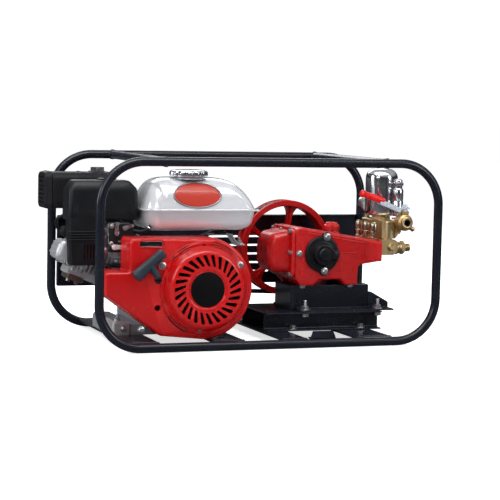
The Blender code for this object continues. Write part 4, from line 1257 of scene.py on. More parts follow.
def buildBlock():
    f, b = engine["caseFront"], engine["caseBack"]
    outline = rounded([(-248, 34, 12), (-52, 34, 12), (-40, 60, 12), (-40, 165, 20), (-78, 203, 10),
                       (-190, 203, 10),
                       (-248, 176, 12)], 6)
    y = cylinderY
    barrel = rod(alongCylinder(88, 0, y), alongCylinder(200, 0, y), 42, 64)
    fins = [tiltedBox((t, t + 2.6), (-60, 56), (y - 48, y + 44), 1.2, 3) for t in range(122, 196, 9)]
    feet = []
    for left in engine["feet"]:
        feet.append(lofted([(19, (left, left + 39), (-80, 88), 5), (44, (left, left + 39), (-80, 88), 5),
                            (49, (left + 3, left + 36), (-77, 85), 5)], 5))
    slab = prism(rounded(rectangle((-290, -80), (-76, 84), 6), 4), "Z", 19, 40)
    gasket = prism(outline, "Y", b, b + 0.4)
    neck = turned([(15, 0), (15, 3), (13, 4), (13, 16)], (-47, 60, 90), (1, 0, 0.35), 40)
    ribs = [box((x, x + 4), (f - 0.5, b), (36, 60)) for x in (-215, -180, -145, -110, -78)]
    piece("engineBlock", prism(outline, "Y", f, b), finishes["castAluminium"],
          node="engine_crankcase", add=[*feet, slab, barrel, neck], bevel=1.2, segments=2,
          extra=[*fins, gasket, *ribs])
    boss = turned([(40, -1), (38, 1), (34, 6), (30, 14), (24, 16), (14, 16), (14, -1)], (xC, b + 9.6, zC),
                  (0, 1, 0), 64,
                  ring=True)
    ring = [(-236, 48), (-236, 165), (-186, 191), (-84, 191), (-52, 160), (-52, 66), (-70, 46), (-150, 46)]
    piece("engineSideCover", prism(outline, "Y", b + 0.3, b + 10), finishes["castAluminium"],
          node="engine_side_cover", cut=[rod((xC, b - 2, zC), (xC, b + 20, zC), 16, 40)], bevel=1.5,
          extra=[boss, *[box((x, x + 3), (b + 9, b + 13), (60, 100)) for x in (-200, -180, -90)]])
    boltSet("sideCoverBolts",
            [{"at": (x, b + 10, z), "axis": (0, 1, 0), "across": 9, "tall": 4.5} for x, z in ring],
            finishes["zincSteel"])
    piece("oilSeal",
          turned([(13, 0), (19, 0), (19, 3), (13, 3)], (xC, b + 24, zC), (0, 1, 0), 48, ring=True),
          finishes["rubberBlack"])
    footBolts = []
    for left in engine["feet"]:
        for side in (-66, 72):
            footBolts.append({"at": (left + 14, side, engine["footTop"] - 0.5), "axis": (0, 0, 1),
                              "across": 13, "stud": 7})
    footBolts.append({"at": (-284, -80, 33), "axis": (0, -1, 0), "across": 8, "tall": 4})
    boltSet("engineFootBolts", footBolts, finishes["zincSteel"])
    dip = [(3, 0), (3, 34), (13.6, 34.2), (14, 36), (14, 46), (13.4, 47), (9, 50), (0, 51)]
    ridges = [softRod(Vector((0, 0, 0)), Vector((0, 0, 12)), 1.6, 0.4, 8) for _ in range(14)]
    way = Vector((1, 0, 0.35)).normalized()
    turn = Matrix.Translation((-30, 60, 96)) @ faced(way)
    for k, ridge in enumerate(ridges):
        a = 2 * math.pi * k / 14
        ridge.transform(turn @ Matrix.Translation((13.4 * math.cos(a), 13.4 * math.sin(a), 34.6)))
    piece("oilDipstick", turned(dip, (-30, 60, 96), (1, 0, 0.35), 48), finishes["plasticBlack"],
          body="oil_dipstick", node="oil_dipstick", extra=ridges)


def buildHead():
    y = cylinderY
    fins = [tiltedBox((t, t + 2.6), (-66, 50), (y - 42, y + 41), 1.2, 3) for t in (203, 211.5, 220, 228.5)]
    piece("cylinderHead",
          tiltedLoft([(200.3, (-58, 44), (y - 38, y + 38), 8), (238, (-58, 44), (y - 38, y + 38), 8),
                                      (240, (-56, 42), (y - 36, y + 36), 8)]),
          finishes["castAluminium"], node="cylinder_head", bevel=0.8, extra=fins)
    cover = tiltedLoft([(240.3, (-60, -8), (y - 39, y + 37), 7), (244.5, (-60, -8), (y - 39, y + 37), 7),
                        (246, (-58.6, -9.4), (y - 37.6, y + 35.6), 7),
                        (246.4, (-57, -11), (y - 35, y + 33), 8),
                        (262, (-56, -12), (y - 34, y + 32), 9), (270, (-53, -15), (y - 31, y + 29), 10),
                        (273.4, (-47, -21), (y - 26, y + 24), 9), (274, (-40, -28), (y - 18, y + 16), 5)],
                       8)
    ribs = [tiltedBox((250, 274.6), (s - 1.2, s + 1.2), (y - 25, y + 23), 0.5, 2) for s in (-45, -34, -23)]
    bolts = []
    for s in (-56, -12):
        for yy in (y - 35, y + 33):
            bolts += boltShapes(alongCylinder(246, s, yy), alongCylinder(1, 0, 0) - alongCylinder(0, 0, 0),
                                8, 4.5)
    piece("rockerCover", cover, finishes["castAluminium"], node="rocker_cover",
          extra=[*ribs])
    headBolts = []
    for yy in (y - 32, y + 32):
        headBolts += boltShapes(alongCylinder(240.2, 34, yy),
                                alongCylinder(1, 0, 0) - alongCylinder(0, 0, 0), 9, 5)
    piece("headBolts", merged(*bolts, *headBolts), finishes["zincSteel"])
    way = alongCylinder(1, 0, 0) - alongCylinder(0, 0, 0)
    boot = [(7, 0), (8, 0.6), (8, 7), (9.6, 8), (10.6, 9.6), (9.8, 11.4), (10.6, 13.2), (9.8, 15),
            (10.8, 17),
            (11, 28), (10.4, 32), (8, 36.4), (4.6, 38.6), (0, 39)]
    piece("plugBoot", turned(boot, alongCylinder(240.3, 5, y - 8), way, 40), finishes["rubberBlack"],
          node="spark_plug")
    knots = [tuple(alongCylinder(276, 5, y - 8)), tuple(alongCylinder(280.2, 5, y - 8)), (-399, 33, 236),
             (-404, 27, 248), (-400, 20, 258), (-384, 16, 264), (-350, 13, 267), (-310, 11, 265),
             (-277, 9, 253),
             (-257, -10, 240), (-252, -42, 226), (-256, -75, 214), (-262, -100, 205), (-264, -118, 203)]
    piece("ignitionLead", swept(smoothRoute(knots, 10), 3.6, 16), finishes["rubberBlack"],
          node="ht_lead")
    # the breather hose
    hose = smoothRoute([(-336, -8, 262), (-336, 2, 256), (-333, 10, 246), (-328, 18, 234)], 10)
    piece("breatherHose", swept(hose, 5.0, 16), finishes["rubberBlack"])
    pushGuard = tiltedBox((150, 236), (-76, -58), (y - 30, y + 30), 5, 4)
    piece("pushrodGuide", pushGuard, finishes["castAluminium"], bevel=2.0)
    piece("exhaustShield", tiltedBox((196, 232), (-86, -74), (y - 34, y + 22), 5, 4), finishes["heatSteel"],
          bevel=1.5,
          extra=[*boltShapes(alongCylinder(206, -86, y - 20), (-0.37, 0, -0.93), 8, 4),
                 *boltShapes(alongCylinder(224, -86, y - 20), (-0.37, 0, -0.93), 8, 4)])


def buildMuffler():
    shell = [(-399.5, (88, 154), (278, 344), 14), (-398, (85.5, 156.5), (274, 348), 16),
             (-394, (84, 158), (272, 350), 17),
             (-332, (84, 158), (272, 350), 17), (-331, (83, 159), (271, 351), 17),
             (-327, (83, 159), (271, 351), 17),
             (-326, (84, 158), (272, 350), 17), (-262, (84, 158), (272, 350), 17),
             (-258, (86, 156), (275, 347), 15),
             (-256, (90, 152), (280, 342), 12)]
    pipe = swept(smoothRoute([(-325, 104, 280), (-325, 104, 262), (-325, 102, 248), (-325, 94, 238)], 8),
                 12, 32)
    flange = prism(rounded(rectangle((-338, -312), (226, 250), 5), 5), "Y", 83.5, 91)
    grooves = [box((-386, -340), (y, y + 3), (349.2, 352)) for y in (100, 116, 132)]
    piece("muffler", lofted(shell, 8, "X"), finishes["mufflerBlack"], node="muffler",
          bevel=0.6,
          cut=grooves, extra=[pipe, flange])
    tab = prism(rounded([(-308, 346, 0), (-278, 346, 0), (-278, 361, 2), (-308, 361, 2)], 4), "Y", 112, 115)
    foot = prism(rounded(rectangle((-310, -276), (106, 128), 3), 4), "Z", 350, 352.4)
    piece("mufflerTab", tab, finishes["machinedSteel"], bevel=0.4,
          extra=[foot, *boltShapes((-293, 112, 355), (0, -1, 0), 7, 3.6),
                 *boltShapes((-284, 122, 352.4), (0, 0, 1), 7, 3.6)])
    guardRows = [(-414.5, (90, 152), (276, 346), 9), (-413, (88, 154), (273, 349), 12),
                 (-400, (84, 158), (270, 352), 14)]
    inner = lofted([(-411.8, (91, 151), (277, 345), 8), (-399, (86.5, 155.5), (272.5, 349.5), 12)], 6, "X")
    holes = []
    for row, z in enumerate(range(284, 342, 9)):
        for k in range(4):
            y = 99 + 12 * k + (3 if row % 2 else 0)
            holes.append(prism(rounded(rectangle((y, y + 8.6), (z - 2.7, z + 2.7), 2.4), 4), "X", -417,
                               -408))
    piece("mufflerGuard", lofted(guardRows, 8, "X"), finishes["mufflerBlack"],
          node="muffler_guard",
          cut=[inner, merged(*holes)], bevel=0.4)
    boltSet("exhaustNuts", [{"at": (-333, 91, 238), "axis": (0, 1, 0), "across": 9, "stud": 3},
                            {"at": (-317, 91, 230), "axis": (0, 1, 0), "across": 9, "stud": 3}],
            finishes["machinedSteel"])


buildBlock()
buildHead()
buildMuffler()
print("engine ready")

# ---- belt drive

pulley = {"engine": 40.0, "pump": 108.0, "front": 128.0, "back": 168.0, "groove": 10.0, "spokes": 5}
xP, zP = pumpAxis.x, pumpAxis.z


def rimProfile(radius, bore):
    width = pulley["back"] - pulley["front"]
    g = pulley["groove"]
    return [(bore, 1.5), (bore + 1.5, 0), (radius - 1.5, 0), (radius, 1.5), (radius, 6.5), (radius - 1, 8),
            (radius - g, 11), (radius - g, width - 11), (radius - 1, width - 8), (radius, width - 6.5),
            (radius, width - 1.5), (radius - 1.5, width), (bore + 1.5, width), (bore, width - 1.5)]


def buildPulleys():
    f = pulley["front"]
    piece("enginePulley", turned(rimProfile(pulley["engine"], 12.8), (xC, f, zC), (0, 1, 0), 72, ring=True),
          finishes["machinedSteel"], body="engine_rotor", node="engine_pulley",
          extra=[*boltShapes((xC, f + 30, zC), (0, 1, 0), 15, 11)])
    rim = turned(rimProfile(pulley["pump"], 94.6), (xP, f, zP), (0, 1, 0), 120, ring=True)
    hub = turned([(12.8, 3), (24, 3), (26, 5), (27, 12), (27, 28), (26, 35), (24, 37), (12.8, 37)],
                 (xP, f, zP),
                 (0, 1, 0), 64, ring=True)
    spokes = []
    for k in range(pulley["spokes"]):
        lean = Matrix.Translation((xP, 0, zP)) @ Matrix.Rotation(math.radians(72 * k - 81), 4, "Y")
        # each spoke widens to the hub and the rim in a fillet and has a rib along its middle
        edge = [(20, -14), (30, -8.5), (42, -6), (70, -5.6), (80, -7.4), (88, -11.5), (97, -19)]
        web = prism(edge + [(a, -b) for a, b in edge[::-1]], "Y", f + 14, f + 26)
        rib = prism([(20, -2.6), (96, -2.6), (96, 2.6), (20, 2.6)], "Y", f + 10.5, f + 29.5)
        spokes += [moved(web, lean), moved(rib, lean)]
    piece("pumpPulley", rim, finishes["castRed"], body="pump_rotor", node="pump_pulley",
          add=[hub, *spokes], cut=[rod((xP, f - 5, zP), (xP, f + 50, zP), 12.8, 48)], bevel=1.3, segments=2)
    piece("pulleyKey", box((xP - 3, xP + 3), (f + 4, f + 39), (zP + 11, zP + 15)),
          finishes["machinedSteel"],
          body="pump_rotor", bevel=0.4)
    boltSet("pulleyHubBolt", [{"at": (xP, f + 37, zP), "axis": (0, 1, 0), "across": 16, "tall": 8}],
            finishes["zincSteel"], body="pump_rotor")


def beltOutline(extra):
    r1, r2 = pulley["engine"] - pulley["groove"] + extra, pulley["pump"] - pulley["groove"] + extra
    slope = math.degrees(math.atan2(zP - zC, xP - xC))
    spread = math.degrees(math.asin((r2 - r1) / math.hypot(xP - xC, zP - zC)))
    small = arc((xC, zC), r1, slope + 90 + spread, slope + 270 - spread, 36)
    large = arc((xP, zP), r2, slope - 90 - spread, slope + 90 + spread, 72)
    return small + large


def buildBelt():
    # two ribs side by side, each a trapezoid in section
    low, high = pulley["front"] + 11.5, pulley["back"] - 11.5
    middle = (low + high) / 2
    strands = []
    for a, b in ((low, middle - 0.6), (middle + 0.6, high)):
        rows = [(a + 1.6, 0.6), (a, 8.2), (a + 0.8, 9.0), (b - 0.8, 9.0), (b, 8.2), (b - 1.6, 0.6)]
        bm = bmesh.new()
        rings = [[bm.verts.new((x, y, z)) for x, z in beltOutline(extra)] for y, extra in rows]
        count = len(rings[0])
        for first, second in zip(rings, rings[1:] + rings[:1]):
            for i in range(count):
                j = (i + 1) % count
                bm.faces.new((first[i], first[j], second[j], second[i]))
        bmesh.ops.recalc_face_normals(bm, faces=bm.faces)
        strands.append(bm)
    piece("driveBelt", merged(*strands), finishes["rubberBlack"], node="drive_belt")


buildPulleys()
buildBelt()
print("belt drive ready")

# ---- pump base

base = {"x": (32.0, 298.0), "low": 19.0, "high": 59.0, "bracket": (100.0, 284.0), "foot": 331.0,
        "top": 114.0}


def buildBase():
    low, high = base["low"], base["high"]
    section = [(-88, low), (-66, low), (-66, 56), (66, 56), (66, low), (88, low), (88, low + 3),
               (69, low + 3),
               (69, 56), (88, 56), (88, high), (-88, high), (-88, 56), (-69, 56), (-69, low + 3),
               (-88, low + 3)]
    bends = {1: 0, 2: 2, 3: 2, 4: 0, 7: 4, 8: 2, 13: 2, 14: 4}
    outline = rounded([(a, b, bends.get(i, 0.6)) for i, (a, b) in enumerate(section)], 4)
    left, right = base["x"]
    holes = [prism(rounded(rectangle((x - 9, x + 9), (y - 4.2, y + 4.2), 4), 4), "Z", 54, 61)
             for x in (70, 190) for y in (-20, 20)]
    piece("pumpBaseChannel", prism(outline, "X", left, right), finishes["frameBlack"],
          node="pump_base_channel", cut=holes, bevel=0.5)
    left, right, foot = *base["bracket"], base["foot"]
    low, high, sheet = high + 0.3, base["top"], 3.0
    shell = lofted([(low, (left, right), (-50, 50), 4), (high - 3, (left, right), (-50, 50), 4),
                    (high - 0.8, (left + 0.8, right - 0.8), (-49.2, 49.2), 4),
                    (high, (left + 3, right - 3), (-47, 47), 3)], 5)
    hollow = box((left + sheet, right - sheet), (-50 + sheet, 50 - sheet), (low - 1, high - sheet))
    flanges = [prism(rounded(rectangle((left + 10, foot), (a, b), 4), 4), "Z", low, low + sheet)
               for a, b in ((-85, -49), (49, 85))]
    side = rounded([(right - 1, low, 0), (foot, low, 0), (foot, 74, 3), (right + 6, 97, 3),
                    (right - 1, 98, 0)], 4)
    gussets = [prism(side, "Y", a, a + sheet) for a in (-50.0, 47.0)]
    piece("pumpBracket", shell, finishes["frameBlack"], node="pump_bracket",
          add=[*flanges, *gussets], cut=[hollow], bevel=0.7,
          extra=[beadLine((left + 14, -51.5, low + 4), (foot - 4, -51.5, low + 4), 1.6),
                 beadLine((left + 14, 51.5, low + 4), (foot - 4, 51.5, low + 4), 1.6)])
    bolts = []
    for x in (125, 296):
        for side in (-1, 1):
            y = side * 72
            bolts.append({"at": (x, y, low + 3), "axis": (0, 0, 1), "across": 14, "stud": 13})
            bolts.append({"at": (x, y, 56.2), "axis": (0, 0, -1), "across": 14})
    for x in (94, 252):
        for side in (-1, 1):
            bolts.append({"at": (x, side * 80, base["low"] + 3), "axis": (0, 0, 1), "across": 13,
                          "tall": 7})
    for x in (124, 236):
        for y in (-54, 50):
            bolts.append({"at": (x, y, 114.6), "axis": (0, 0, -1) if y < 0 else (0, 0, 1), "across": 11,
                          "tall": 5})
    boltSet("baseBolts", bolts, finishes["zincSteel"])
    # a folded foot between the channel and the ground
    lug = rounded([(131, 0.5, 2), (192, 0.5, 2), (184, 18.6, 2), (137, 18.6, 2)], 4)
    piece("baseStay", prism(lug, "Y", -92, -89), finishes["frameBlack"], bevel=0.5,
          extra=[prism(rounded(rectangle((134, 189), (-92, -70), 2), 3), "Z", 0.6, 3.4)])


buildBase()
print("pump base ready")

# ---- pump crankcase

pump = {"front": -66.0, "back": 62.0, "cap": (6.0, 3.0), "plungerZ": 192.0, "pitch": 40.0}


def pumpOutline(i):
    return rounded([(103, 128 + i, 12), (117, 114.4 + i, 4), (146 - i, 114.4 + i, 4),
                    (160 - i, 127 + i, 10),
                    (208 + i, 127 + i, 10), (222 + i, 114.4 + i, 4), (250 - i, 114.4 + i, 3),
                    (252 - i, 158 + i, 9),
                    (306, 166 + i, 5), (306, 209 - i, 4), (103, 243 - i, 12)], 6)


def bandLine(points, radius, sides=10):
    count = len(points)
    return swept(points, radius, sides,
                 radii=[radius * (0.4 if k in (0, count - 1) else 1) for k in range(count)])


def buildPumpCase():
    f, b = pump["front"], pump["back"]
    bm = bmesh.new()
    edge = 5.0
    rows = [(f + edge * (1 - math.sin(a)),
             edge * (1 - math.cos(a))) for a in (math.radians(90 - 15 * k) for k in range(7))]
    rows = rows + [(f + b - y, inset) for y, inset in rows[::-1]]
    rings = [[bm.verts.new((x, y, z)) for x, z in pumpOutline(inset)] for y, inset in rows]
    capped(bm, rings)
    cx, cz = xP + pump["cap"][0], zP + pump["cap"][1]
    pad = turned([(44, -2), (44, 0.2), (42.6, 1.2), (0, 1.2)], (cx, f + 2, cz), (0, -1, 0), 72)
    # raised cap seat, cast ribs and the filler neck
    filler = turned([(20, -4), (20, 0), (17.5, 3), (16, 6), (16, 9), (0, 9)], (212, 0, 222), (0, 0, 1), 56)
    rearBoss = turned([(34, -2), (32, 4), (28, 10), (26, 12), (13.2, 12), (13.2, -2)], (xP, b, zP),
                      (0, 1, 0), 64,
                      ring=True)
    seats = [turned([(11, -8), (11, 5), (9.6, 6.6), (8, 6.6)], (296, y, 206), (0, 0, 1), 32)
             for y in (-pump["pitch"], 0, pump["pitch"])]
    bolster = lofted([(251, (f + 4, b - 4), (163, 211), 6), (276, (f - 1.2, b + 1.2), (164, 212), 7),
                      (305.6, (f - 1.2, b + 1.2), (165, 210), 6)], 6, "X")
    lines = [
        bandLine([(x, f - 0.2, 185.5) for x in (203, 206, 214, 224, 236, 246, 249)], 1.2),
        bandLine([(x, f - 0.2, 228.6 - (x - 132) * 0.168) for x in (128, 132, 170, 210, 240, 262, 268)],
                 1.3),
        bandLine([(120, f + 0.4, z) for z in (136, 140, 165, 190, 215, 228, 231)], 1.3),
        bandLine([(268, f - 1.0, z) for z in (170, 172, 185, 198, 203, 205)], 1.1),
    ]
    bores = [rod((230, y, pump["plungerZ"]), (310, y, pump["plungerZ"]), 10.9, 32)
             for y in (-pump["pitch"], 0, pump["pitch"])]
    piece("pumpCase", bm, finishes["castRed"], node="pump_crankcase",
          add=[pad, filler, bolster, *seats],
          cut=bores + [rod((xP, b - 8, zP), (xP, b + 1, zP), 13, 48)], bevel=0.9, extra=[*lines, rearBoss])
    yy = (f + 5, b - 5)
    cover = [(102.7, (yy[0] - 2, yy[1] + 2), (130, 241), 14),
             (95.5, (yy[0] - 2, yy[1] + 2), (130, 241), 14),
             (94, (yy[0], yy[1]), (132, 239), 15), (92.5, (-52, 48), (141, 233), 15),
             (66, (-50, 46), (142.5, 228), 18),
             (60, (-49, 45), (144, 225.5), 19), (55.5, (-46, 42), (147, 220.5), 20),
             (52, (-42, 38), (151.5, 214), 19),
             (49.6, (-37, 33), (157, 207), 16), (48.6, (-31, 27), (163.5, 200), 12)]
    piece("pumpEndCover", lofted(cover[::-1], 10, "X"), finishes["castRed"],
          node="crankcase_cover",
          bevel=0.8)
    piece("coverGasket", lofted([(102.6, (yy[0] - 1.4, yy[1] + 1.4), (131, 240), 14),
                                 (103.3, (yy[0] - 1.4, yy[1] + 1.4), (131, 240), 14)], 8, "X"),
          finishes["rubberBlack"])
    bolts = []
    for y in (yy[0] + 7, -2, yy[1] - 7):
        for z in (138, 232):
            bolts.append({"at": (95.5, y, z), "axis": (-1, 0, 0), "across": 9, "tall": 5})
    for y in (yy[0] + 5, yy[1] - 5):
        bolts.append({"at": (95.5, y, 186), "axis": (-1, 0, 0), "across": 9, "tall": 5})
    bolts.append({"at": (111, f, 184), "axis": (0, -1, 0), "across": 8.5, "tall": 5})
    for x in (130, 236):
        for y in (f + 12, b - 12):
            bolts.append({"at": (x, y, 122), "axis": (0, 0, 1), "across": 10, "tall": 5})
    boltSet("pumpCaseBolts", bolts, finishes["zincSteel"])


def buildBearingCap():
    f = pump["front"]
    cx, cz = xP + pump["cap"][0], zP + pump["cap"][1]
    # an oval flange with bolt ears at the top and bottom
    ears = [(cx + 9.5, cz + 37.5), (cx + 5, cz - 37)]
    flange = turned([(39, 0), (39, 4.6), (37.6, 6.2), (34, 6.8), (0, 6.8)], (cx, f - 0.3, cz), (0, -1, 0),
                    80)
    lobes = [turned([(10.5, 0), (10.5, 4.8), (9, 6.4), (0, 6.4)], (x, f - 0.3, z), (0, -1, 0), 36) for x,
             z in ears]
    side = turned([(15, 0), (15, 5), (12, 12), (10.5, 16), (8, 17.6), (0, 18)], (cx + 25, f - 0.3, cz - 1),
                  (0, -1, 0), 40)
    neck = lofted([(f - 17, (cx, cx + 26), (cz - 9, cz + 7), 6),
                   (f - 2, (cx, cx + 32), (cz - 15, cz + 13), 9)], 6, "Y")
    hub = turned([(30, 6), (29, 8.4), (25, 9.2), (24, 10.5), (22.6, 18), (21, 20), (19, 20.6), (18.6, 19.8),
                  (15, 19.8),
                  (14.4, 22.6), (12, 24.6), (4, 25), (0, 25)], (cx, f - 0.3, cz), (0, -1, 0), 72)
    piece("bearingCap", flange, finishes["plasticBlack"], node="bearing_cap",
          add=[*lobes, side, neck, hub], bevel=0.8)
    boltSet("bearingCapBolts",
            [{"at": (x, f - 6.5, z), "axis": (0, -1, 0), "across": 10, "tall": 5.5} for x, z in ears],
            finishes["zincSteel"])


def buildPumpFittings():
    cap = [(17.5, 0.3), (17.5, 4), (18, 5), (18, 8.5), (17, 10.6), (14, 12.2), (13.4, 14.8), (11, 16.6),
           (6, 17), (0, 17)]
    notches = []
    for k in range(12):
        a = 2 * math.pi * k / 12
        at = Vector((212 + 18.8 * math.cos(a), 18.8 * math.sin(a), 230))
        notches.append(rod(at, at + Vector((0, 0, 12)), 1.4, 12))
    piece("pumpOilCap", turned(cap, (212, 0, 231), (0, 0, 1), 64), finishes["castRed"],
          body="pump_oil_cap",
          node="pump_oil_cap", cut=[merged(*notches)], bevel=0.4)
    for name, y in (("Front", -pump["pitch"]), ("Middle", 0), ("Rear", pump["pitch"])):
        cup = [(4.4, 0.2), (4.4, 7), (6.5, 7.6), (8.2, 9), (8.5, 11), (8.5, 15), (7.7, 16), (7.7, 18),
               (8.5, 19), (8.5, 30),
               (7.6, 33), (5.4, 33.8), (5.2, 35.4), (3.6, 36.4), (0, 36.5)]
        grips = []
        for k in range(20):
            a = 2 * math.pi * k / 20
            at = Vector((296 + 8.3 * math.cos(a), y + 8.3 * math.sin(a), 213.4))
            grips.append(softRod(at + Vector((0, 0, 20)), at + Vector((0, 0, 29)), 0.55, 0.3, 8))
        lower = name.lower()
        piece("greaseCup" + name, turned(cup, (296, y, 213.4), (0, 0, 1), 48), finishes["cupBrass"],
              body="grease_cup_" + lower, node="grease_cup_" + lower,
              extra=[hexBar((296, y, 214.4), (296, y, 219.6), 13), *grips])


buildPumpCase()
buildBearingCap()
buildPumpFittings()
print("pump case ready")

# ---- pump head, air chamber, regulator and gauge

head = {"caseEnd": 306.4, "chamber": (338.0, 16.0), "regulator": (356.0, -34.0), "gauge": (330.0, 283.0)}


def unionNut(start, way, across, length, radius):
    # a hexagon union nut with its collar and a short neck beyond it
    start, way = Vector(start), Vector(way).normalized()
    return [hexBar(start, start + way * length, across, 1.2),
            turned([(radius * 1.12, 0), (radius * 1.12, 1.6), (radius, 2.4), (radius, 6)],
                   start + way * length, way, 36)]


def buildManifolds():
    end, z = head["caseEnd"], pump["plungerZ"]
    pitch = pump["pitch"]
    main = prism(rounded([(end, 179, 5), (336, 179, 9), (345, 188, 6), (345, 206, 7), (338, 213, 5),
                          (end, 213, 5)], 6),
                 "Y", -64, 60)
    bosses = []
    for y in (-pitch, 0, pitch):
        bosses.append(turned([(19, 0), (19, 5), (17.5, 7), (17.5, 14)], (end, y, z + 3), (1, 0, 0), 48))
        bosses.append(turned([(13.5, 0), (13.5, 12), (12, 15), (12, 22)], (328, y, 196), (0, 0, 1), 40))
    inlet = turned([(15, 0), (15, 8), (13, 11), (13, 17)], (340, -48, 194), (1, 0, 0), 40)
    chambers = [rod((300, y, z), (330, y, z), 11.2, 32) for y in (-pitch, 0, pitch)]
    piece("suctionManifold", main, finishes["castBrass"], node="suction_manifold",
          add=[inlet, *bosses],
          cut=chambers, bevel=1.4, segments=3,
          extra=[*unionNut((345, -12, 193), (1, 0, 0), 20, 7, 7),
                 *unionNut((345, 26, 193), (1, 0, 0), 20, 7, 7),
                 turned([(9.6, 0), (9.6, 3), (7.6, 6), (0, 6)], (330, -64, 197), (0, -1, 0), 6)])
    barb = [(9, 0), (9, 3), (7.8, 4.2), (9.2, 8), (7.8, 8.4), (8.8, 12.4), (8.5, 13.5), (5.6, 13.5),
            (5.6, 0)]
    piece("suctionFitting", hexBar((357.3, -48, 194), (366, -48, 194), 26, 1.4), finishes["castBrass"],
          node="suction_fitting", cut=[rod((350, -48, 194), (385, -48, 194), 5.6, 40)],
          extra=[turned(barb, (365.5, -48, 194), (1, 0, 0), 48, ring=True)])
    block = prism(rounded([(312, 214, 5), (345, 214, 9), (352, 224, 6), (352, 246, 7), (345, 254.4, 5),
                           (312, 254.4, 5)], 6),
                  "Y", -50, 62)
    ribs = []
    for y in (-pitch, 0, pitch):
        ribs.append(turned([(16, 0), (16, 34), (14, 38)], (332, y, 214.6), (0, 0, 1), 48))
        ribs.append(turned([(13, 0), (13, 4), (11, 6), (11, 12)], (346, y, 234), (1, 0, 0), 40))
    nuts = []
    for y in (0.0, pitch):
        nuts += [hexBar((351, y, 234), (361, y, 234), 22, 1.4)]
    for y in (-24, 18, 56):
        nuts += boltShapes((322, y, 254.2), (0, 0, 1), 9, 5, washer=False)
    piece("dischargeManifold", block, finishes["castBrass"], node="discharge_manifold", add=ribs,
          bevel=1.4,
          segments=3, extra=nuts)
    # links between the two blocks
    piece("valveCaps",
          merged(*[hexBar((328, y, 206), (328, y, 214.8), 22, 1.0) for y in (-pitch, 0, pitch)]),
          finishes["castBrass"])


def buildChamber():
    x, y = head["chamber"]
    dome = [(16, 0), (18, 0.6), (20, 3), (21, 5), (30, 7.4), (34.4, 10), (35.8, 13), (36, 17), (36, 90)]
    for k in range(1, 11):
        a = math.radians(9 * k)
        dome.append((22 * math.cos(a) + 14 if k < 10 else 14, 90 + 21 * math.sin(a)))
    dome += [(8, 112.2), (0, 113)]
    neck = turned([(14, -2), (14, 6), (12, 8)], (x, y, 250), (0, 0, 1), 40)
    piece("airChamber", turned(dome, (x, y, 255), (0, 0, 1), 96), finishes["chromePlate"],
          node="air_chamber")
    piece("chamberCollar", hexBar((x, y, 251.5), (x, y, 258), 40, 1.2), finishes["castBrass"],
          extra=[neck])
    x, y = head["regulator"]
    body = [(9, 0), (11, 1), (11.7, 3), (11.7, 40), (11.2, 41), (11.2, 43), (11.7, 44), (11.7, 64),
            (10.6, 68), (9, 70),
            (9, 74.5)]
    piece("regulatorBody", turned(body, (x, y, 255), (0, 0, 1), 56), finishes["chromePlate"],
          node="regulator_body", extra=[hexBar((x, y, 254), (x, y, 262), 25, 1.0)])
    knob = [(10.4, 0.3), (11, 1.2), (11, 6.4), (10.2, 7.4), (9, 8), (9, 12), (8, 13.4), (6.4, 14.6),
            (4, 15), (0, 15)]
    knurl = []
    for k in range(28):
        a = 2 * math.pi * k / 28
        at = Vector((x + 10.9 * math.cos(a), y + 10.9 * math.sin(a), 330))
        knurl.append(softRod(at + Vector((0, 0, 0.8)), at + Vector((0, 0, 6.8)), 0.6, 0.3, 8))
    piece("regulatorKnob", turned(knob, (x, y, 330), (0, 0, 1), 56), finishes["chromePlate"],
          body="regulator_knob", node="regulator_knob", extra=knurl)


def buildGauge():
    x, z = head["gauge"]
    case = [(0, 0), (18.4, 0), (20, 1.6), (20, 18), (19, 21.4), (17.6, 22), (16.6, 21.4), (16.4, 19),
            (0, 19)]
    piece("pressureGauge", turned(case, (x, 86, z), (0, -1, 0), 64), finishes["zincSteel"],
          node="pressure_gauge", extra=[hexBar((x, 76, 266), (x, 76, 240), 12),
                                        softRod((x, 76, 244), (x, 62.4, 244), 6)])
    piece("gaugeDial", turned([(0, 19), (16.2, 19), (16.2, 19.5), (0, 19.5)], (x, 86, z), (0, -1, 0), 64),
          finishes["dialWhite"])
    marks = []
    for k in range(25):
        a = math.radians(225 - 270 * k / 24)
        long = 3.4 if k % 6 == 0 else 1.8
        mark = box((14.8 - long, 14.8), (66.1, 66.45), (-0.22, 0.22))
        marks.append(moved(mark, Matrix.Translation((x, 0, z)) @ Matrix.Rotation(-a, 4, "Y")))
    needle = moved(prism([(-4, -0.9), (12.6, -0.15), (12.6, 0.15), (-4, 0.9)], "Y", 65.6, 66.0),
                   Matrix.Translation((x, 0, z)) @ Matrix.Rotation(-math.radians(222), 4, "Y"))
    piece("gaugeMarks",
          merged(*marks, needle, turned([(1.8, 0), (1.8, 1.2), (0, 1.4)], (x, 66.2, z), (0, -1, 0), 24)),
          finishes["inkBlack"])


# ---- outlet valve and its lever

valve = {"at": (356.0, -66.0, 251.0), "bore": 7.6}


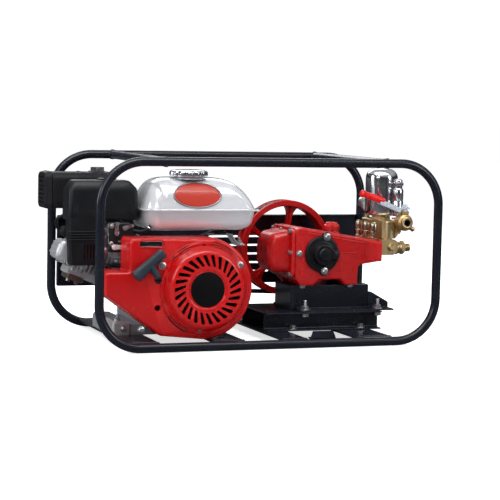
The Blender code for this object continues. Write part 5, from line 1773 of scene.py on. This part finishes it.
def buildOutlet():
    x, y, z = valve["at"]
    front = y - 20
    body = [(11.5, 0), (12.8, 0.8), (13.2, 6), (14.6, 7), (17.4, 9), (18.4, 12), (18.4, 22), (17, 26),
            (15, 28),
            (13.4, 30), (14, 31), (14, 35.6)]
    boss = turned([(11, 4), (10, 14), (8.6, 17), (8.6, 19), (9.6, 20), (9.6, 23.4), (8, 25)], (x + 2, y, z),
                  (0, 0, 1), 40)
    spigot = [(8.4, 0), (8, 8), (6, 12), (4.8, 15), (4.8, 20), (5.6, 21), (5.6, 23), (3.4, 25.4)]
    mouth = rod((x, front - 1, z), (x, front + 17, z), valve["bore"], 48)
    piece("outletValve", turned(body, (x, front, z), (0, 1, 0), 64), finishes["castBrass"],
          node="outlet_valve_body", add=[boss, turned(spigot, (x + 3, y, z - 6), (0.9, 0, -0.42), 36)],
          cut=[mouth],
          bevel=0.6,
          extra=[turned([(8.2, 0.6), (8.2, -0.6), (10.8, -0.8), (11.6, 0.4), (11.4, 1.6)], (x, front, z),
                        (0, 1, 0), 48,
                        ring=True),
                 hexBar((x, y + 7, z), (x, y + 13, z), 35, 1.4)])
    # a black sleeve and a dark dome inside the outlet mouth are painted shade in the bore
    boreShade = turned([(7.5, 1.4), (7.5, 16), (6.6, 16), (6.6, 1.4)], (x, front, z), (0, 1, 0), 48, ring=True)
    boreShadePlug = turned([(0, 11.5), (3.4, 12), (5.6, 13.6), (6.8, 16.6), (0, 16.6)], (x, front, z), (0, 1, 0), 48)
    piece("valveBoreShade", merged(boreShade, boreShadePlug), finishes["mufflerBlack"])
    px, top = x + 2, z + 25 + 0.3
    # the cranked plate is a folded channel: flat at the stem, then rising to the grip
    route = [(px + 10, top + 4), (px - 10, top + 4), (px - 18, top + 6.5), (px - 44, top + 17),
             (px - 62, top + 23.5)]
    upper = [(a - 0.9, b + 2.8) for a, b in route[::-1]]
    side = [(px + 10, top + 4.4), (px - 11, top + 4.4), (px - 14, top - 3.4), (px - 44, top + 8.6),
            (px - 62, top + 15),
            (px - 62, top + 25.6), (px - 44, top + 19), (px - 18, top + 8.6), (px - 10, top + 6.4),
            (px + 10, top + 6.4)]
    flanges = [prism(side, "Y", y - 8.2, y - 6.0), prism(side, "Y", y + 6.0, y + 8.2)]
    piece("leverPlate", prism(route + upper, "Y", y - 8, y + 8), finishes["bluedZinc"],
          body="outlet_lever",
          add=flanges, bevel=0.6, segments=3,
          extra=[hexBar((px, y, top), (px, y, top + 4.4), 13, 0.4),
                 *boltShapes((px, y, top + 6.8), (0, 0, 1), 11, 6)])
    way = Vector((58, 0, -19)).normalized()
    start = Vector((px - 107, y, top + 40))
    grip = [(0, 0), (4.4, 0.3), (7.8, 1.6), (9.3, 4), (9.3, 7.6), (8.2, 10.4), (7.6, 13), (8.1, 17),
            (8.7, 26),
            (8.7, 42), (8.2, 54), (7.2, 59), (6.2, 60.6), (0, 61)]
    handle = turned(grip, (0, 0, 0), (0, 0, 1), 40)
    handle.transform(Matrix.Diagonal((0.86, 1.12, 1.0, 1.0)))
    handle.transform(Matrix.Translation(start) @ faced(way))
    piece("leverGrip", handle, finishes["gripRed"], body="outlet_lever", node="outlet_lever")


buildManifolds()
buildChamber()
buildGauge()
buildOutlet()
print("pump head ready")

# ---- inner pieces keep their CAD shape and take worked finishes

inner = {
    "machinedSteel": ("engine_crankshaft", "pump_crankshaft", "plunger_front", "plunger_middle",
                      "plunger_rear"),
    "castAluminium": ("flywheel", "piston"),
}
for finish, nodes in inner.items():
    for name in nodes:
        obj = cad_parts[name]
        obj.data.materials.clear()
        obj.data.materials.append(finishes[finish])

print("inner pieces ready")
